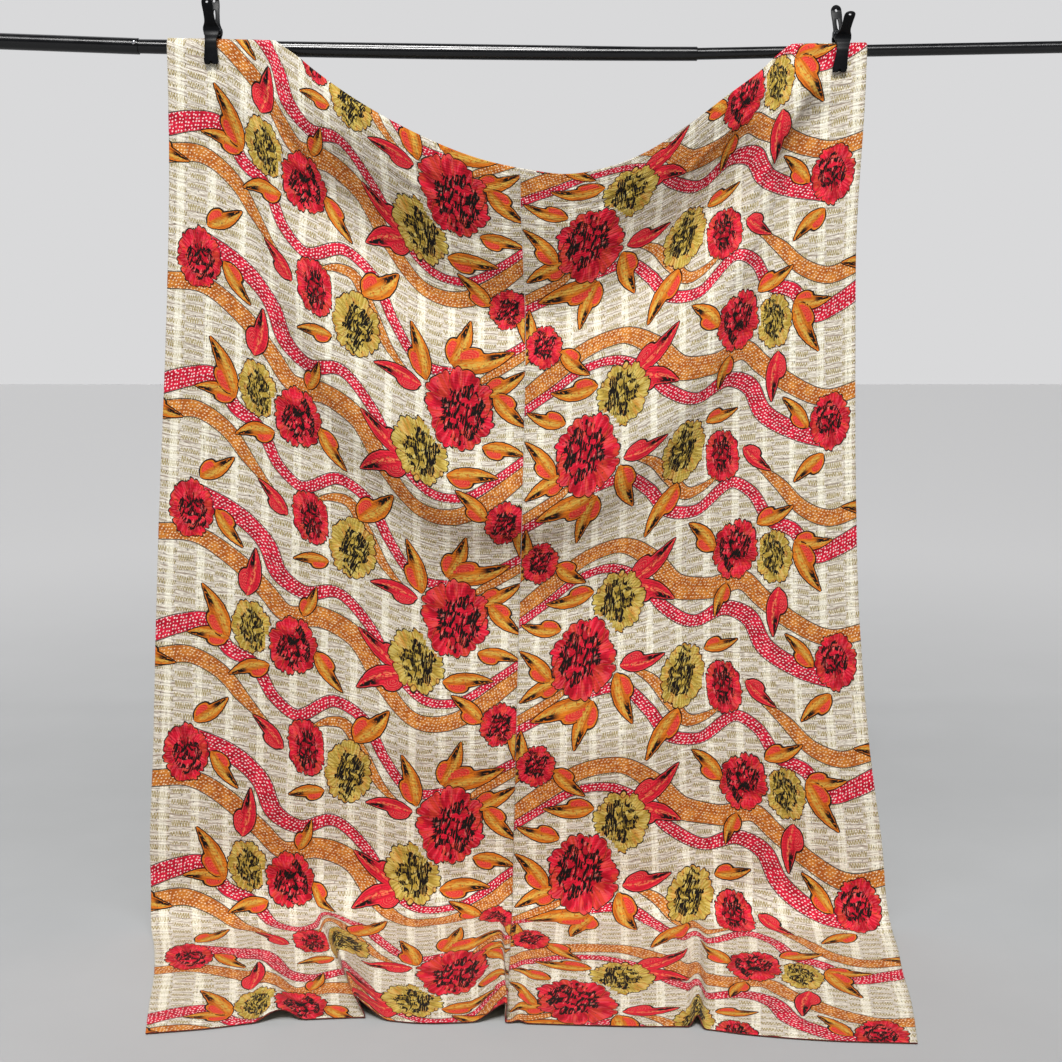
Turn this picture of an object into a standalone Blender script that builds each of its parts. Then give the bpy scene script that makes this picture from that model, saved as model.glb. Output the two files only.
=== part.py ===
"""Kantha quilt hung over a three-section rod, its lower end lying on the floor.

Metres, +Z up, floor at z = 0. X runs along the rod and the front of the quilt
faces -Y. Each panel is one closed sheet: a cross-section path runs from the
hem over the rod, down to the floor and forward along it, and the folds and the
floor ridges are laid on that path by hand from the tables below.
"""
import math

import bmesh
import bpy
import numpy as np
from mathutils import Matrix

# ---------------------------------------------------------------- quilt sizes
QUILT_WIDTH = 1.524          # two panels, 60 in
QUILT_LENGTH = 2.250         # 90 in less its turned ends and shrinkage
PANEL_WIDTH = QUILT_WIDTH / 2.0
SHEET_THICKNESS = 0.0020
SEAM_GAP = 0.0005            # between the two panels
ROD_CLEARANCE = 0.0020       # rod surface to the cloth's inner face
BEND_RADIUS = 0.075          # soft bend where the cloth meets the floor
SAG_BLEND = 0.46             # length over which the sag's spacing evens out

# ------------------------------------------------------------------ rod sizes
ROD_HALF_LENGTH = 1.080
ROD_RADIUS_LEFT = 0.0150
ROD_RADIUS_MIDDLE = 0.0130
ROD_RADIUS_RIGHT = 0.0110
ROD_WALL = 0.0012
ROD_INSERT = 0.060           # how far a section runs inside the wider one
ROD_LOW_X = 0.3138           # end of the middle section, the rod's lowest place
ROD_JOIN_X = -0.7405         # end of the left section
ROD_LOW_Z = 1.6935
ROD_MIDDLE_BOW = 0.01228     # z rise per metre squared, middle section
ROD_LEFT_SLOPE = -0.0357
ROD_RIGHT_SLOPE = 0.0178
PLUG_FLANGE = 0.004
PLUG_STUB = 0.016
BUTTON_RADIUS = 0.0035

# ---------------------------------------------------------------- clip sizes
CLIP_LEFT_X = -0.604
CLIP_RIGHT_X = 0.584
CLIP_RIGHT_LOWER = 0.009     # the right clip sits this much lower
BARREL_RADIUS = 0.0080
BARREL_LENGTH = 0.032
BARREL_HEIGHT = 0.0300       # above the rod's axis
PAD_THICKNESS = 0.0026
PAD_HEIGHT = 0.016
FIT_GAP = 0.0004             # pad to cloth, arm to pad

# ----------------------------------------------------------------- the tables
# The top hem: place along the rod (x) and its path length from the rod's top
# line, negative behind the rod and positive down the front.
TOP_HEM = (
    # x,     path
    (-0.684, -0.094),
    (-0.600, -0.064),
    (-0.540, -0.034),
    (-0.495, -0.006),
    (-0.478, 0.012),
    (-0.441, 0.038),
    (-0.410, 0.063),
    (-0.321, 0.125),
    (-0.223, 0.178),
    (-0.112, 0.222),
    (0.000, 0.245),
    (0.064, 0.251),
    (0.148, 0.236),
    (0.220, 0.207),
    (0.285, 0.166),
    (0.360, 0.111),
    (0.432, 0.058),
    (0.466, 0.027),
    (0.500, 0.001),
    (0.530, -0.014),
    (0.580, -0.031),
    (0.632, -0.046),
)

# The outline: path length from the rod's top line, and x of the left edge,
# the centre seam and the right edge there.
OUTLINE = (
    # path,  left,   seam,    right
    (0.00, -0.684, -0.008, 0.632),
    (0.30, -0.688, -0.009, 0.621),
    (0.60, -0.702, -0.011, 0.624),
    (0.85, -0.717, -0.016, 0.630),
    (1.10, -0.730, -0.023, 0.642),
    (1.36, -0.742, -0.030, 0.668),
    (1.62, -0.755, -0.036, 0.705),
    (1.72, -0.751, -0.038, 0.711),
    (1.80, -0.727, -0.039, 0.705),
    (1.92, -0.696, -0.040, 0.687),
    (2.06, -0.670, -0.041, 0.669),
    (2.22, -0.639, -0.042, 0.640),
)

# How much more of the spare length the folds near the top take up, by place
# across the flat quilt (u), as a share of that spare length.
EARLY_SLACK = (
    # u,    share
    (0.000, 0.12),
    (0.200, 0.16),
    (0.350, 0.22),
    (0.580, 0.12),
    (0.760, 0.20),
    (0.950, 0.32),
    (1.100, 0.40),
    (1.250, 0.45),
    (1.370, 0.38),
    (1.450, 0.22),
    (1.524, 0.12),
)

# Where the cloth hangs and ends, by place across the flat quilt (u): y of the
# hanging cloth just above the floor, and y of the bottom hem on the floor.
FLOOR_LINE = (
    # u,    hang_y, hem_y
    (0.000, -0.070, -0.541),
    (0.110, -0.045, -0.523),
    (0.215, -0.015, -0.497),
    (0.300, 0.005, -0.488),
    (0.430, 0.015, -0.482),
    (0.560, 0.020, -0.503),
    (0.700, 0.020, -0.498),
    (0.850, 0.010, -0.506),
    (1.000, -0.005, -0.515),
    (1.140, -0.015, -0.520),
    (1.240, -0.020, -0.545),
    (1.370, -0.035, -0.566),
    (1.524, -0.055, -0.576),
)

# Soft folds of the hanging cloth: four places (x, drop below the rod's axis)
# that a fold's crest or trough passes, its half-width above and below that
# line, its height (positive stands out to the front), and how far along it
# comes in and fades out (shares of its length).
FOLDS = (
    # x0,    d0,    x1,    d1,    x2,    d2,    x3,    d3,    above, below, height, fade_in, fade_out
    (-0.530, 0.060, -0.230, 0.650, 0.230, 0.635, 0.500, 0.040, 0.090, 0.062, -0.046, 0.16, 0.14),
    (-0.480, 0.010, -0.230, 0.265, 0.230, 0.265, 0.500, 0.000, 0.050, 0.110, 0.042, 0.20, 0.15),
    (0.540, 0.020, 0.440, 0.170, 0.405, 0.340, 0.300, 0.600, 0.034, 0.040, 0.026, 0.10, 0.55),
    (0.560, 0.060, 0.480, 0.220, 0.450, 0.420, 0.400, 0.640, 0.035, 0.045, -0.016, 0.15, 0.60),
    (-0.600, 0.060, -0.550, 0.320, -0.500, 0.600, -0.280, 0.860, 0.035, 0.050, -0.015, 0.15, 0.35),
    (-0.500, 0.240, -0.330, 1.080, 0.200, 1.075, 0.440, 0.300, 0.115, 0.066, 0.040, 0.24, 0.14),
    (-0.340, 0.980, -0.120, 1.090, 0.140, 1.100, 0.360, 0.960, 0.080, 0.090, -0.018, 0.30, 0.30),
    (-0.420, 1.220, -0.150, 1.380, 0.150, 1.400, 0.420, 1.220, 0.090, 0.110, 0.018, 0.30, 0.30),
    (-0.180, 1.000, -0.200, 1.250, -0.180, 1.480, -0.160, 1.640, 0.060, 0.060, -0.010, 0.30, 0.25),
    (-0.560, 0.700, -0.580, 1.050, -0.560, 1.400, -0.520, 1.640, 0.080, 0.080, 0.010, 0.30, 0.25),
    (0.330, 0.800, 0.340, 1.100, 0.330, 1.380, 0.335, 1.640, 0.060, 0.060, -0.012, 0.30, 0.10),
    (0.500, 0.500, 0.520, 0.900, 0.540, 1.300, 0.560, 1.640, 0.070, 0.070, 0.012, 0.30, 0.25),
)

# Ridges of the cloth on the floor: place across the flat quilt (u) at the bend
# and at the hem, half-widths left and right in the flat, height at the bend
# and at the hem, width taken up at the hem, and how far the crest leans.
FLOOR_RIDGES = (
    # u_bend, u_hem, left,  right, rise_bend, rise_hem, taken, lean
    (0.200, 0.240, 0.055, 0.050, 0.002, 0.020, 0.006, 0.00),
    (0.368, 0.448, 0.052, 0.052, 0.016, 0.042, 0.056, -0.85),
    (0.722, 0.733, 0.080, 0.028, 0.012, 0.036, 0.040, 0.25),
    (0.796, 0.796, 0.032, 0.034, 0.001, 0.005, 0.026, 0.00),
    (1.136, 1.136, 0.032, 0.030, 0.012, 0.023, 0.030, 0.00),
)


# ------------------------------------------------------------------ functions
def smooth(t):
    t = np.clip(t, 0.0, 1.0)
    return t * t * (3.0 - 2.0 * t)


def curve_through(rows, x, column):
    """Smooth curve through a table's rows, with the rows' own slopes."""
    xs = np.array([row[0] for row in rows])
    ys = np.array([row[column] for row in rows])
    step = np.diff(xs)
    slope = np.diff(ys) / step
    tangent = np.empty(len(xs))
    tangent[1:-1] = (slope[:-1] * step[1:] + slope[1:] * step[:-1]) / (step[:-1] + step[1:])
    tangent[0], tangent[-1] = slope[0], slope[-1]
    x = np.clip(np.asarray(x, dtype=float), xs[0], xs[-1])
    i = np.clip(np.searchsorted(xs, x, side="right") - 1, 0, len(xs) - 2)
    h = step[i]
    t = (x - xs[i]) / h
    return ((2 * t ** 3 - 3 * t ** 2 + 1) * ys[i] + (t ** 3 - 2 * t ** 2 + t) * h * tangent[i]
            + (3 * t ** 2 - 2 * t ** 3) * ys[i + 1] + (t ** 3 - t ** 2) * h * tangent[i + 1])


def rod_z(x):
    """Height of the rod's axis: straight ends, gently bowed middle section."""
    x = np.asarray(x, dtype=float)
    middle = ROD_LOW_Z + ROD_MIDDLE_BOW * (x - ROD_LOW_X) ** 2
    join_z = ROD_LOW_Z + ROD_MIDDLE_BOW * (ROD_JOIN_X - ROD_LOW_X) ** 2
    left = join_z + ROD_LEFT_SLOPE * (x - ROD_JOIN_X)
    right = ROD_LOW_Z + ROD_RIGHT_SLOPE * (x - ROD_LOW_X)
    return np.where(x < ROD_JOIN_X, left, np.where(x > ROD_LOW_X, right, middle))


def wrap_radius(x):
    """Radius of the cloth's middle where it goes over the rod."""
    near_left = ROD_RADIUS_MIDDLE + ROD_CLEARANCE + SHEET_THICKNESS / 2.0
    near_right = ROD_RADIUS_RIGHT + ROD_CLEARANCE + SHEET_THICKNESS / 2.0
    return near_left + (near_right - near_left) * smooth((np.asarray(x) + 0.2) / 0.4)


def top_spacing():
    """Flat place u against x along the top hem, by the hem's own length."""
    x = np.linspace(TOP_HEM[0][0], TOP_HEM[-1][0], 400)
    drop = np.maximum(curve_through(TOP_HEM, x, 1), 0.0)
    length = np.concatenate(([0.0], np.cumsum(np.hypot(np.diff(x), np.diff(drop)))))
    return x, length * (QUILT_WIDTH / length[-1])


def bezier(row, count=28):
    t = np.linspace(0.0, 1.0, count)[:, None]
    p = np.array(row[:8]).reshape(4, 2)
    return ((1 - t) ** 3 * p[0] + 3 * (1 - t) ** 2 * t * p[1]
            + 3 * (1 - t) * t ** 2 * p[2] + t ** 3 * p[3])


def fold_height(x, drop):
    """Sum of the soft folds at places (x, drop) of the hanging cloth."""
    total = np.zeros_like(x)
    for row in FOLDS:
        line = bezier(row)
        above, below, height, fade_in, fade_out = row[8:13]
        best = np.full(x.shape, 1e9)
        side = np.zeros_like(x)
        along = np.zeros_like(x)
        for k in range(len(line) - 1):
            ax, ad = line[k]
            dx, dd = line[k + 1] - line[k]
            t = np.clip(((x - ax) * dx + (drop - ad) * dd) / (dx * dx + dd * dd), 0.0, 1.0)
            px, pd = x - (ax + t * dx), drop - (ad + t * dd)
            dist = np.hypot(px, pd)
            nearer = dist < best
            best = np.where(nearer, dist, best)
            side = np.where(nearer, pd, side)
            along = np.where(nearer, (k + t) / (len(line) - 1), along)
        width = np.where(side < 0.0, above, below)
        ends = smooth(along / fade_in) * smooth((1.0 - along) / fade_out)
        total += height * ends * np.exp(-(best / width) ** 2)
    return total


def surface(u, v):
    """Middle of the cloth at flat place (u across, v down from the top hem)."""
    u = np.asarray(u, dtype=float)
    v = np.asarray(v, dtype=float)
    hem_x, hem_u = top_spacing()
    x_top = np.interp(u, hem_u, hem_x)
    start = curve_through(TOP_HEM, x_top, 1)
    hang_y = curve_through(FLOOR_LINE, u, 1)
    hem_y = curve_through(FLOOR_LINE, u, 2)

    quarter = wrap_radius(x_top) * math.pi / 2.0
    hang_end = quarter + rod_z(x_top) - BEND_RADIUS
    bend_end = hang_end + BEND_RADIUS * math.pi / 2.0
    finish = bend_end + (hang_y - BEND_RADIUS - hem_y)
    surplus = QUILT_LENGTH - (finish - start)
    share = v / QUILT_LENGTH
    early = curve_through(EARLY_SLACK, u, 1) * (1.0 - np.exp(-share / 0.10)) * (1.0 - share * share)
    path = start + v - surplus * (share + early)

    # place across: the sag's own spacing at the top, then even between edges
    floor_share = smooth((path - hang_end + 0.02) / 0.10)
    reach = np.clip((path - bend_end) / np.maximum(finish - bend_end, 0.1), 0.0, 1.0)
    left = curve_through(OUTLINE, path, 1)
    seam = curve_through(OUTLINE, path, 2)
    right = curve_through(OUTLINE, path, 3)
    in_left = u <= PANEL_WIDTH
    taken_left = np.zeros_like(u)
    taken_right = np.zeros_like(u)
    taken_here = np.zeros_like(u)
    rise = np.zeros_like(u)
    lean = np.zeros_like(u)
    for u_bend, u_hem, w_left, w_right, rise_bend, rise_hem, taken, crest_lean in FLOOR_RIDGES:
        centre = u_bend + (u_hem - u_bend) * reach
        width = np.where(u < centre, w_left, w_right)
        d = (u - centre) / width
        amount = taken * (0.25 + 0.75 * reach) * floor_share
        step = smooth(0.5 + 0.5 * d)
        taken_here += amount * step
        if u_hem < PANEL_WIDTH:
            taken_left += amount
        else:
            taken_right += amount
        bump = np.where(np.abs(d) < 1.0, np.cos(0.5 * math.pi * d) ** 2, 0.0)
        rise_now = (rise_bend + (rise_hem - rise_bend) * reach) * floor_share * bump
        rise += rise_now
        lean += crest_lean * rise_now
    share_left = (u - np.where(in_left, taken_here, 0.0)) / (PANEL_WIDTH - taken_left)
    share_right = ((u - PANEL_WIDTH) - (taken_here - taken_left)) / (PANEL_WIDTH - taken_right)
    x_low = np.where(in_left, left + (seam - left) * share_left,
                     seam + (right - seam) * share_right)
    evened = smooth(v / SAG_BLEND)
    x = x_top + (x_low - x_top) * evened + lean

    # the cross-section path: behind the rod, over it, down, bend, floor
    radius = wrap_radius(x)
    axis_z = rod_z(x)
    quarter = radius * math.pi / 2.0
    angle = np.clip(path / radius, -math.pi / 2.0, math.pi / 2.0)
    y = -radius * np.sin(angle)
    z = axis_z + radius * np.cos(angle)
    z = np.where(path < -quarter, axis_z + (path + quarter), z)
    hanging = path > quarter
    fall = np.clip((path - quarter) / (hang_end - quarter), 0.0, 1.0)
    front_y = -radius + (hang_y + radius) * smooth(fall)
    z_end = BEND_RADIUS + SHEET_THICKNESS / 2.0
    front_z = axis_z + (z_end - axis_z) * fall
    turn = np.clip((path - hang_end) / BEND_RADIUS, 0.0, math.pi / 2.0)
    front_y = front_y - BEND_RADIUS * (1.0 - np.cos(turn)) - np.maximum(path - bend_end, 0.0)
    front_z = front_z - BEND_RADIUS * np.sin(turn)
    y = np.where(hanging, front_y, y)
    z = np.where(hanging, front_z, z)

    # folds stand out along the path's own normal; none press into the rod
    drop = path - quarter
    fold = fold_height(x, drop)
    fold = np.where(fold < 0.0, fold * smooth((drop - 0.035) / 0.08), fold)
    fold *= smooth((drop + 0.004) / 0.030) * (1.0 - smooth((path - hang_end + 0.10) / 0.14))
    upright = np.cos(turn)
    y = y - fold * upright - rise * upright
    z = z + fold * (1.0 - upright) + rise * (1.0 - upright)
    return np.stack((x, y, z), axis=-1)


def new_object(name, verts, faces, material):
    mesh = bpy.data.meshes.new(name)
    mesh.from_pydata([tuple(v) for v in verts], [], faces)
    mesh.validate()
    obj = bpy.data.objects.new(name, mesh)
    bpy.context.scene.collection.objects.link(obj)
    mesh.materials.append(material)
    bm = bmesh.new()
    bm.from_mesh(mesh)
    bmesh.ops.recalc_face_normals(bm, faces=bm.faces)
    bm.to_mesh(mesh)
    bm.free()
    return obj


def material(name, colour, roughness, metallic=0.0):
    mat = bpy.data.materials.new(name)
    mat.use_nodes = True
    shader = mat.node_tree.nodes["Principled BSDF"]
    shader.inputs["Base Color"].default_value = (*colour, 1.0)
    shader.inputs["Roughness"].default_value = roughness
    shader.inputs["Metallic"].default_value = metallic
    mat.diffuse_color = (*colour, 1.0)
    return mat


def panel(name, u_values, v_values, diagonal_at, mat):
    """One panel: the surface's grid, thickened evenly to both sides."""
    uu, vv = np.meshgrid(u_values, v_values, indexing="ij")
    middle = surface(uu, vv)
    eps = 0.0015
    du = surface(uu + eps, vv) - surface(uu - eps, vv)
    dv = surface(uu, vv + eps) - surface(uu, vv - eps)
    normal = np.cross(dv, du)
    normal /= np.linalg.norm(normal, axis=-1, keepdims=True)
    front = middle + normal * SHEET_THICKNESS / 2.0
    back = middle - normal * SHEET_THICKNESS / 2.0
    nu, nv = uu.shape
    verts = np.concatenate((front.reshape(-1, 3), back.reshape(-1, 3)))
    half = nu * nv

    def at(i, j):
        return i * nv + j

    faces = []
    for i in range(nu - 1):
        for j in range(nv - 1):
            a, b, c, d = at(i, j), at(i + 1, j), at(i + 1, j + 1), at(i, j + 1)
            if u_values[i] < diagonal_at:
                pair = ((a, b, d), (b, c, d))
            else:
                pair = ((a, b, c), (a, c, d))
            for tri in pair:
                faces.append(tri)
                faces.append(tuple(half + k for k in reversed(tri)))
    rim = ([at(i, 0) for i in range(nu)] + [at(nu - 1, j) for j in range(1, nv)]
           + [at(i, nv - 1) for i in range(nu - 2, -1, -1)] + [at(0, j) for j in range(nv - 2, 0, -1)])
    for a, b in zip(rim, rim[1:] + rim[:1]):
        faces.append((b, a, half + a))
        faces.append((b, half + a, half + b))
    return new_object(name, verts, faces, mat)


def rod_tube(name, x_from, x_to, outer, wall, mat, segments=28, stations=14):
    """A hollow rod section that follows the rod's axis."""
    xs = np.linspace(x_from, x_to, stations)
    verts, faces = [], []
    for radius in (outer, outer - wall):
        for x in xs:
            for k in range(segments):
                a = 2.0 * math.pi * k / segments
                verts.append((x, radius * math.cos(a), float(rod_z(x)) + radius * math.sin(a)))
    ring = segments
    inner = stations * ring
    for s in range(stations - 1):
        for k in range(ring):
            n = (k + 1) % ring
            a, b, c, d = s * ring + k, s * ring + n, (s + 1) * ring + n, (s + 1) * ring + k
            faces.append((a, b, c, d))
            faces.append((inner + d, inner + c, inner + b, inner + a))
    for base, flip in ((0, False), ((stations - 1) * ring, True)):
        for k in range(ring):
            n = (k + 1) % ring
            quad = (base + k, inner + base + k, inner + base + n, base + n)
            faces.append(tuple(reversed(quad)) if flip else quad)
    return new_object(name, verts, faces, mat)


def turned_x(name, profile, centre, mat, segments=28):
    """A solid turned about an axis along X: profile rows are (x, radius)."""
    verts, faces = [], []
    for x, radius in profile:
        for k in range(segments):
            a = 2.0 * math.pi * k / segments
            verts.append((centre[0] + x, centre[1] + radius * math.cos(a), centre[2] + radius * math.sin(a)))
    for s in range(len(profile) - 1):
        for k in range(segments):
            n = (k + 1) % segments
            faces.append((s * segments + k, s * segments + n, (s + 1) * segments + n, (s + 1) * segments + k))
    faces.append(tuple(reversed(range(segments))))
    faces.append(tuple((len(profile) - 1) * segments + k for k in range(segments)))
    return new_object(name, verts, faces, mat)


# One clip arm, from the handle's tip down to the jaw: height above the rod's
# axis, distance out from the rod's axis, width and thickness.
CLIP_ARM = (
    # z,     out,    width,  thick
    (0.0960, 0.0455, 0.0100, 0.0040),
    (0.0930, 0.0450, 0.0150, 0.0052),
    (0.0860, 0.0425, 0.0175, 0.0058),
    (0.0640, 0.0330, 0.0190, 0.0064),
    (0.0450, 0.0215, 0.0225, 0.0070),
    (0.0360, 0.0150, 0.0240, 0.0080),
    (0.0290, 0.0138, 0.0240, 0.0082),
    (0.0220, 0.0165, 0.0235, 0.0080),
    (0.0130, 0.0235, 0.0220, 0.0070),
    (0.0000, 0.0255, 0.0200, 0.0064),
    (-0.0140, 0.0255, 0.0190, 0.0062),
    (-0.0300, 0.0252, 0.0185, 0.0060),
    (-0.0330, 0.0252, 0.0160, 0.0050),
)


def clip_arm(name, x_centre, side, lower, cloth_face, mat):
    """side -1 is the front arm, +1 the rear arm; the jaw clears the pad."""
    reach = cloth_face + 2 * FIT_GAP + PAD_THICKNESS + CLIP_ARM[-3][3] / 2.0
    shift = reach - CLIP_ARM[-3][1]
    base_z = float(rod_z(x_centre)) - lower
    verts, faces = [], []
    corner = 0.25
    for z, out, width, thick in CLIP_ARM:
        below = max(0.0, min(1.0, (0.026 - z) / 0.012))
        y = side * (out + shift * below)
        for cx, cy in ((-1, -1 + 2 * corner), (-1 + corner, -1), (1 - corner, -1), (1, -1 + 2 * corner),
                       (1, 1 - 2 * corner), (1 - corner, 1), (-1 + corner, 1), (-1, 1 - 2 * corner)):
            verts.append((x_centre + cx * width / 2.0, y + cy * thick / 2.0, base_z + z))
    n = 8
    for s in range(len(CLIP_ARM) - 1):
        for k in range(n):
            m = (k + 1) % n
            faces.append((s * n + k, s * n + m, (s + 1) * n + m, (s + 1) * n + k))
    faces.append(tuple(reversed(range(n))))
    faces.append(tuple((len(CLIP_ARM) - 1) * n + k for k in range(n)))
    return new_object(name, verts, faces, mat)


def box(name, low, high, mat):
    (x0, y0, z0), (x1, y1, z1) = low, high
    verts = [(x0, y0, z0), (x1, y0, z0), (x1, y1, z0), (x0, y1, z0),
             (x0, y0, z1), (x1, y0, z1), (x1, y1, z1), (x0, y1, z1)]
    faces = [(0, 3, 2, 1), (4, 5, 6, 7), (0, 1, 5, 4), (1, 2, 6, 5), (2, 3, 7, 6), (3, 0, 4, 7)]
    return new_object(name, verts, faces, mat)


def clip(prefix, x_centre, lower, mat, pad_mat, steel):
    cloth_face = float(wrap_radius(x_centre)) + SHEET_THICKNESS / 2.0
    base_z = float(rod_z(x_centre)) - lower
    parts = []
    for side, word in ((-1, "front"), (1, "rear")):
        parts.append(clip_arm(f"{prefix}_arm_{word}", x_centre, side, lower, cloth_face, mat))
        inner = side * (cloth_face + FIT_GAP)
        outer = side * (cloth_face + FIT_GAP + PAD_THICKNESS)
        parts.append(box(f"{prefix}_pad_{word}",
                         (x_centre - 0.0085, min(inner, outer), base_z - 0.0310),
                         (x_centre + 0.0085, max(inner, outer), base_z - 0.0310 + PAD_HEIGHT), pad_mat))
    half = BARREL_LENGTH / 2.0
    parts.append(turned_x(f"{prefix}_barrel",
                          [(-half, BARREL_RADIUS - 0.001), (-half + 0.001, BARREL_RADIUS),
                           (half - 0.001, BARREL_RADIUS), (half, BARREL_RADIUS - 0.001)],
                          (x_centre, 0.0, base_z + BARREL_HEIGHT + lower), steel))
    return parts


# -------------------------------------------------------------------- build it
for old in list(bpy.data.objects):
    bpy.data.objects.remove(old, do_unlink=True)
for old in list(bpy.data.meshes):
    bpy.data.meshes.remove(old)

cloth_left = material("printed_cotton_left", (0.62, 0.46, 0.34), 0.88)
cloth_right = material("printed_cotton_right", (0.60, 0.44, 0.33), 0.88)
rod_black_left = material("rod_black_left", (0.018, 0.018, 0.020), 0.38, 0.35)
rod_black_middle = material("rod_black_middle", (0.020, 0.020, 0.022), 0.36, 0.35)
rod_black_right = material("rod_black_right", (0.022, 0.022, 0.024), 0.36, 0.35)
plug_black_left = material("plug_plastic_left", (0.015, 0.015, 0.015), 0.55)
plug_black_right = material("plug_plastic_right", (0.015, 0.015, 0.016), 0.55)
button_steel = material("button_steel", (0.62, 0.63, 0.65), 0.25, 0.95)
clip_black = material("clip_plastic", (0.022, 0.022, 0.024), 0.42)
pad_black = material("clip_pad", (0.030, 0.030, 0.032), 0.70)
clip_barrel = material("clip_barrel", (0.040, 0.040, 0.045), 0.45, 0.30)

objects = []

# the panels: close columns at the hooked corners, close rows over the rod
corner_columns = np.linspace(0.0, 0.225, 15)
plain_columns = np.linspace(0.225, 0.335, 4)[1:]
ridge_columns = np.linspace(0.335, 0.485, 7)[1:]
inner_columns = np.linspace(0.485, 0.625, 4)[1:]
seam_columns = np.linspace(0.625, PANEL_WIDTH - SEAM_GAP / 2.0, 6)[1:]
left_u = np.concatenate((corner_columns, plain_columns, ridge_columns, inner_columns, seam_columns))
mirror_u = QUILT_WIDTH - left_u[::-1]
rod_rows = np.linspace(0.0, 0.130, 13)
sag_rows = np.linspace(0.130, 0.750, 10)[1:]
hang_rows = np.linspace(0.750, 1.590, 8)[1:]
bend_rows = np.linspace(1.590, 1.850, 6)[1:]
floor_rows = np.linspace(1.850, QUILT_LENGTH, 5)[1:]
rows = np.concatenate((rod_rows, sag_rows, hang_rows, bend_rows, floor_rows))
objects.append(panel("quilt_panel_left", left_u, rows, 10.0, cloth_left))
objects.append(panel("quilt_panel_right", mirror_u, rows, -1.0, cloth_right))

# the rod's three sections, each inside the wider one for a hand's breadth
objects.append(rod_tube("rod_left", -ROD_HALF_LENGTH + PLUG_FLANGE, ROD_JOIN_X,
                        ROD_RADIUS_LEFT, ROD_WALL, rod_black_left, stations=5))
objects.append(rod_tube("rod_middle", ROD_JOIN_X - ROD_INSERT, ROD_LOW_X,
                        ROD_RADIUS_MIDDLE, ROD_WALL, rod_black_middle, stations=16))
objects.append(rod_tube("rod_right", ROD_LOW_X - ROD_INSERT, ROD_HALF_LENGTH - PLUG_FLANGE,
                        ROD_RADIUS_RIGHT, ROD_WALL, rod_black_right, stations=10))

# end plugs: a flange with a flat outer face and a stub inside the tube
left_z = float(rod_z(-ROD_HALF_LENGTH + PLUG_FLANGE))
right_z = float(rod_z(ROD_HALF_LENGTH - PLUG_FLANGE))
objects.append(turned_x("rod_plug_left",
                        [(-PLUG_FLANGE + FIT_GAP, ROD_RADIUS_LEFT - 0.0006), (-PLUG_FLANGE + FIT_GAP + 0.0006, ROD_RADIUS_LEFT),
                         (-FIT_GAP, ROD_RADIUS_LEFT), (-FIT_GAP, ROD_RADIUS_LEFT - ROD_WALL - 0.0008),
                         (PLUG_STUB, ROD_RADIUS_LEFT - ROD_WALL - 0.0010)],
                        (-ROD_HALF_LENGTH + PLUG_FLANGE - FIT_GAP, 0.0, left_z), plug_black_left))
objects.append(turned_x("rod_plug_right",
                        [(-PLUG_STUB, ROD_RADIUS_RIGHT - ROD_WALL - 0.0010), (FIT_GAP, ROD_RADIUS_RIGHT - ROD_WALL - 0.0008),
                         (FIT_GAP, ROD_RADIUS_RIGHT), (PLUG_FLANGE - FIT_GAP - 0.0006, ROD_RADIUS_RIGHT),
                         (PLUG_FLANGE - FIT_GAP, ROD_RADIUS_RIGHT - 0.0006)],
                        (ROD_HALF_LENGTH - PLUG_FLANGE + FIT_GAP, 0.0, right_z), plug_black_right))

# snap button, standing on the front of the left section near its end
button_x = ROD_JOIN_X - 0.006
button_front = -ROD_RADIUS_LEFT - FIT_GAP
verts, faces = [], []
for depth, radius in ((0.0, BUTTON_RADIUS), (-0.0014, BUTTON_RADIUS), (-0.0026, BUTTON_RADIUS * 0.7), (-0.0030, BUTTON_RADIUS * 0.3)):
    for k in range(16):
        a = 2.0 * math.pi * k / 16
        verts.append((button_x + radius * math.cos(a), button_front + depth,
                      float(rod_z(button_x)) + 0.004 + radius * math.sin(a)))
for s in range(3):
    for k in range(16):
        n = (k + 1) % 16
        faces.append((s * 16 + k, s * 16 + n, (s + 1) * 16 + n, (s + 1) * 16 + k))
faces.append(tuple(reversed(range(16))))
faces.append(tuple(48 + k for k in range(16)))
objects.append(new_object("rod_button", verts, faces, button_steel))

objects += clip("clip_left", CLIP_LEFT_X, 0.0, clip_black, pad_black, clip_barrel)
objects += clip("clip_right", CLIP_RIGHT_X, CLIP_RIGHT_LOWER, clip_black, pad_black, clip_barrel)

# centre the whole over the floor: y runs evenly either side of the origin
low = min(v.co.y for obj in objects for v in obj.data.vertices)
high = max(v.co.y for obj in objects for v in obj.data.vertices)
for obj in objects:
    obj.data.transform(Matrix.Translation((0.0, -(low + high) / 2.0, 0.0)))
    obj.data.update()
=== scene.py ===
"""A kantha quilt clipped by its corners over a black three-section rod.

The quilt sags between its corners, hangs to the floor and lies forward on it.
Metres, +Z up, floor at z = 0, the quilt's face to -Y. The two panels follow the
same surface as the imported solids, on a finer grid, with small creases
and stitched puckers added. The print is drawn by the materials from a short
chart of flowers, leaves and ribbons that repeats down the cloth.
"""
import math

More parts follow.
